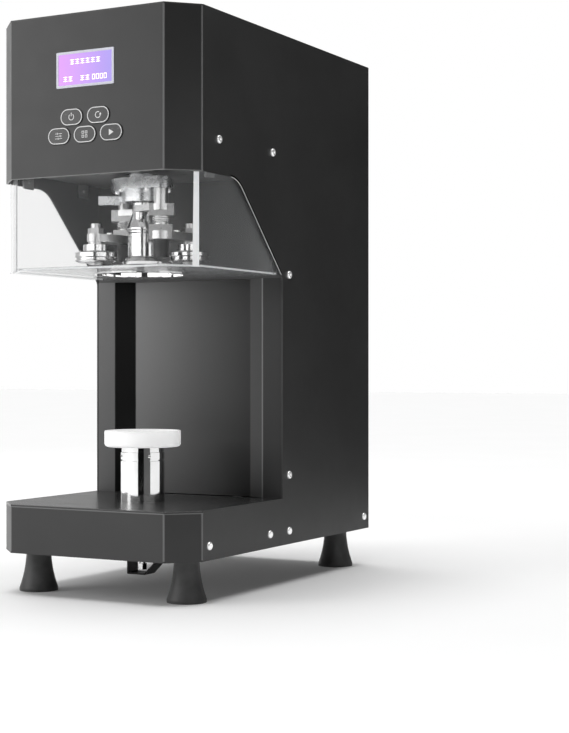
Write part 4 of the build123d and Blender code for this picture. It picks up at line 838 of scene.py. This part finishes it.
screen_low, screen_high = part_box("display_screen")
screen_glow, tree, shader, place = new_material("screen_glow")
across = node(tree, "SeparateXYZ")
tree.links.new(place, across.inputs["Vector"])
slope = node(tree, "MapRange", From_Min=screen_low.x, From_Max=screen_high.x)
tree.links.new(across.outputs["X"], slope.inputs["Value"])
glow_tint = ramp(tree, slope.outputs["Result"], 0.05, 0.95, (0.75, 0.30, 1.0, 1), (0.50, 0.40, 1.0, 1))
matrix_dots = node(tree, "TexVoronoi", Scale=1600.0, Randomness=0.0)
tree.links.new(place, matrix_dots.inputs["Vector"])
dot_shade = spread(tree, matrix_dots.outputs["Distance"], 1.0, 0.85)
shaded = node(tree, "VectorMath")
shaded.operation = "SCALE"
tree.links.new(glow_tint.outputs["Color"], shaded.inputs[0])
tree.links.new(dot_shade, shaded.inputs["Scale"])
tree.links.new(shaded.outputs["Vector"], shader.inputs["Emission Color"])
panel_dark = node(tree, "TexNoise", Scale=30.0)
tree.links.new(place, panel_dark.inputs["Vector"])
dark_tint = ramp(
    tree, panel_dark.outputs["Fac"], 0.3, 0.7, (0.02, 0.01, 0.03, 1), (0.03, 0.015, 0.04, 1)
)
tree.links.new(dark_tint.outputs["Color"], shader.inputs["Base Color"])
shader.inputs["Emission Strength"].default_value = 0.92
shader.inputs["Roughness"].default_value = 0.12
dress(screen_glow, "display_face", "display_screen")

figure_glow, tree, shader, place = new_material("figure_glow")
flicker = node(tree, "TexNoise", Scale=500.0)
tree.links.new(place, flicker.inputs["Vector"])
figure_tint = ramp(tree, flicker.outputs["Fac"], 0.3, 0.7, (0.95, 0.86, 1.0, 1), (1.0, 0.94, 1.0, 1))
tree.links.new(figure_tint.outputs["Color"], shader.inputs["Emission Color"])
tree.links.new(figure_tint.outputs["Color"], shader.inputs["Base Color"])
shader.inputs["Emission Strength"].default_value = 0.9


def flat_marks(name, faces, front, depth, material, body):
    """Thin marks on an upright face: each is a ring of (x, z) points, or two for a mark with a hole."""
    work = bmesh.new()
    for rings in faces:
        outer = rings[0]
        inner = rings[1] if len(rings) > 1 else None
        count = len(outer)
        loops = [outer] if inner is None else [outer, inner]
        fronts = [[work.verts.new((x, front, z)) for x, z in loop] for loop in loops]
        backs = [[work.verts.new((x, front + depth, z)) for x, z in loop] for loop in loops]
        if inner is None:
            work.faces.new(fronts[0])
            work.faces.new(list(reversed(backs[0])))
        for turn in range(count):
            after = (turn + 1) % count
            for level, ring in enumerate(fronts):
                back = backs[level]
                work.faces.new((ring[turn], ring[after], back[after], back[turn]))
            if inner is not None:
                work.faces.new((fronts[0][turn], fronts[0][after], fronts[1][after], fronts[1][turn]))
                work.faces.new((backs[0][turn], backs[0][after], backs[1][after], backs[1][turn]))
    settle(work, name, material, body)


def bar(x, z, width, height):
    """Ring of a plain bar about its middle."""
    half_w = width / 2
    half_h = height / 2
    return [
        (x - half_w, z - half_h), (x + half_w, z - half_h),
        (x + half_w, z + half_h), (x - half_w, z + half_h),
    ]


screen_mid = (screen_low + screen_high) / 2
figure_faces = []
# Plain ladder marks: six across the top, then two and two in the lower row, ahead of the counter
mark_places = [(-0.0190 + 0.0076 * mark, 0.0092) for mark in range(6)]
mark_places += [(-0.0290, -0.0112), (-0.0215, -0.0112), (-0.0040, -0.0112), (0.0035, -0.0112)]
for mark_x, mark_z in mark_places:
    for rung in (-1, 0, 1):
        rung_width = 0.0058 - 0.0014 * (rung == 0)
        figure_faces.append(
            [bar(screen_mid.x + mark_x, screen_mid.z + mark_z + rung * 0.0024, rung_width, 0.0008)]
        )
    figure_faces.append([bar(screen_mid.x + mark_x, screen_mid.z + mark_z, 0.0008, 0.0062)])
for digit in range(4):
    digit_x = screen_mid.x + 0.0125 + digit * 0.0056
    digit_z = screen_mid.z - 0.0112
    figure_faces.append([bar(digit_x, digit_z, 0.0042, 0.0064), bar(digit_x, digit_z, 0.0026, 0.0048)])
flat_marks(
    "screen_figures", figure_faces, screen_low.y - 0.00008, 0.00012, figure_glow,
    "casing",
)

# ---- Keypad
# Five oval keys in dark gloss plastic, each with a white printed outline and a plain white sign.
# They sit in cut-outs of the head cover, and the print moves with its key.
key_gloss = mottled(
    "key_gloss", 130.0, 4.0, (0.3, 0.7), (grey(0.030), grey(0.040)), (0.18, 0.32),
)[0]

print_white = mottled(
    "print_white", 1200.0, 2.0, (0.3, 0.7), (grey(0.74), grey(0.84)), (0.4, 0.55),
)[0]

key_line = 0.0011
print_lift = 0.00001
print_depth = 0.00004
key_inset = 0.0008
sign_line = 0.00095


def oval(x, z, width, height, steps=14):
    """Ring of an oval with straight sides and round ends."""
    end = height / 2
    reach = width / 2 - end
    ring = []
    for half in (1, -1):
        for step in range(steps + 1):
            angle = pi * step / steps - pi / 2
            ring.append((x + half * (reach + end * cos(angle)), z + half * end * sin(angle)))
    return ring


def arc_band(x, z, radius, start, end, line, steps=20):
    """Ring of a bent stroke."""
    angles = [start + (end - start) * step / steps for step in range(steps + 1)]
    outer = [(x + (radius + line / 2) * cos(a), z + (radius + line / 2) * sin(a)) for a in angles]
    inner = [
        (x + (radius - line / 2) * cos(a), z + (radius - line / 2) * sin(a)) for a in reversed(angles)
    ]
    return outer + inner


def power_sign(x, z):
    yield [arc_band(x, z, 0.0036, radians(125), radians(415), sign_line)]
    yield [bar(x, z + 0.0030, sign_line, 0.0042)]


def reset_sign(x, z):
    yield [arc_band(x, z, 0.0036, radians(60), radians(360), sign_line)]
    yield [[(x + 0.0019, z), (x + 0.0053, z), (x + 0.0036, z + 0.0028)]]


def set_sign(x, z):
    for row, knob in ((0.003, -0.002), (0.0, 0.0024), (-0.003, -0.0006)):
        yield [bar(x, z + row, 0.0100, 0.0006)]
        yield [bar(x + knob, z + row, 0.0014, 0.0022)]


def mode_sign(x, z):
    for side in (-1, 1):
        for level in (-1, 1):
            cell_x = x + side * 0.0024
            cell_z = z + level * 0.0024
            yield [bar(cell_x, cell_z, 0.0034, 0.0034), bar(cell_x, cell_z, 0.0020, 0.0020)]


def start_sign(x, z):
    yield [[(x - 0.0028, z - 0.0038), (x + 0.0040, z), (x - 0.0028, z + 0.0038)]]


signs = (
    ("button_power", "power_button", power_sign),
    ("button_reset", "reset_button", reset_sign),
    ("button_set", "set_button", set_sign),
    ("button_mode", "mode_button", mode_sign),
    ("button_start", "start_button", start_sign),
)
for key_name, key_body, sign in signs:
    dress(key_gloss, "keypad", key_name)
    key_low, key_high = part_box(key_name)
    key_x = (key_low.x + key_high.x) / 2
    key_z = (key_low.z + key_high.z) / 2
    key_width = 0.033
    key_height = 0.021
    outline_outer = oval(key_x, key_z, key_width - 2 * key_inset, key_height - 2 * key_inset)
    inner_cut = 2 * (key_inset + key_line)
    outline_inner = oval(key_x, key_z, key_width - inner_cut, key_height - inner_cut)
    key_faces = [[outline_outer, outline_inner]] + list(sign(key_x, key_z))
    flat_marks(
        key_name + "_print", key_faces, key_low.y - print_lift, print_depth, print_white,
        key_body,
    )

# ---- Rating plate
# A small anodised plate, held by four rivets on the rear cover above the mains inlet.
# It has plain engraved rules and blocks, and no words.
plate_alloy = drawn_steel("plate_alloy", grey(0.55), grey(0.66), 0.30, 0.44, (60, 60, 900))
engraving = mottled(
    "engraving", 1500.0, 2.0, (0.3, 0.7), (grey(0.02), grey(0.05)), (0.5, 0.7),
)[0]
rear_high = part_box("rear_cover")[1]
inlet_low, inlet_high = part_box("power_inlet")
plate_width = 0.050
plate_height = 0.030
plate_x = (inlet_low.x + inlet_high.x) / 2
plate_z = inlet_high.z + 0.050
plate_face = [[bar(plate_x, plate_z, plate_width, plate_height)]]
flat_marks(
    "rating_plate", plate_face, rear_high.y + 0.00002, 0.0005, plate_alloy, "casing"
)
rule_faces = [
    [bar(plate_x, plate_z + row * 0.005, plate_width * 0.8, 0.0006)] for row in (-2, -1, 0, 1)
]
rule_faces += [
    [bar(plate_x - 0.016 + 0.006 * step, plate_z + 0.0100, 0.0034, 0.0044)] for step in range(4)
]
flat_marks(
    "rating_rules", rule_faces, rear_high.y + 0.0005, 0.0001, engraving, "casing"
)
rivet_faces = []
for side in (-1, 1):
    for level in (-1, 1):
        rivet_x = plate_x + side * (plate_width / 2 - 0.0025)
        rivet_z = plate_z + level * (plate_height / 2 - 0.0025)
        rivet_faces.append([arc_band(rivet_x, rivet_z, 0.0006, 0.0, 2 * pi * 0.999, 0.0011, 12)])
flat_marks(
    "rating_rivets", rivet_faces, rear_high.y + 0.0005, 0.0006, plate_alloy, "casing"
)
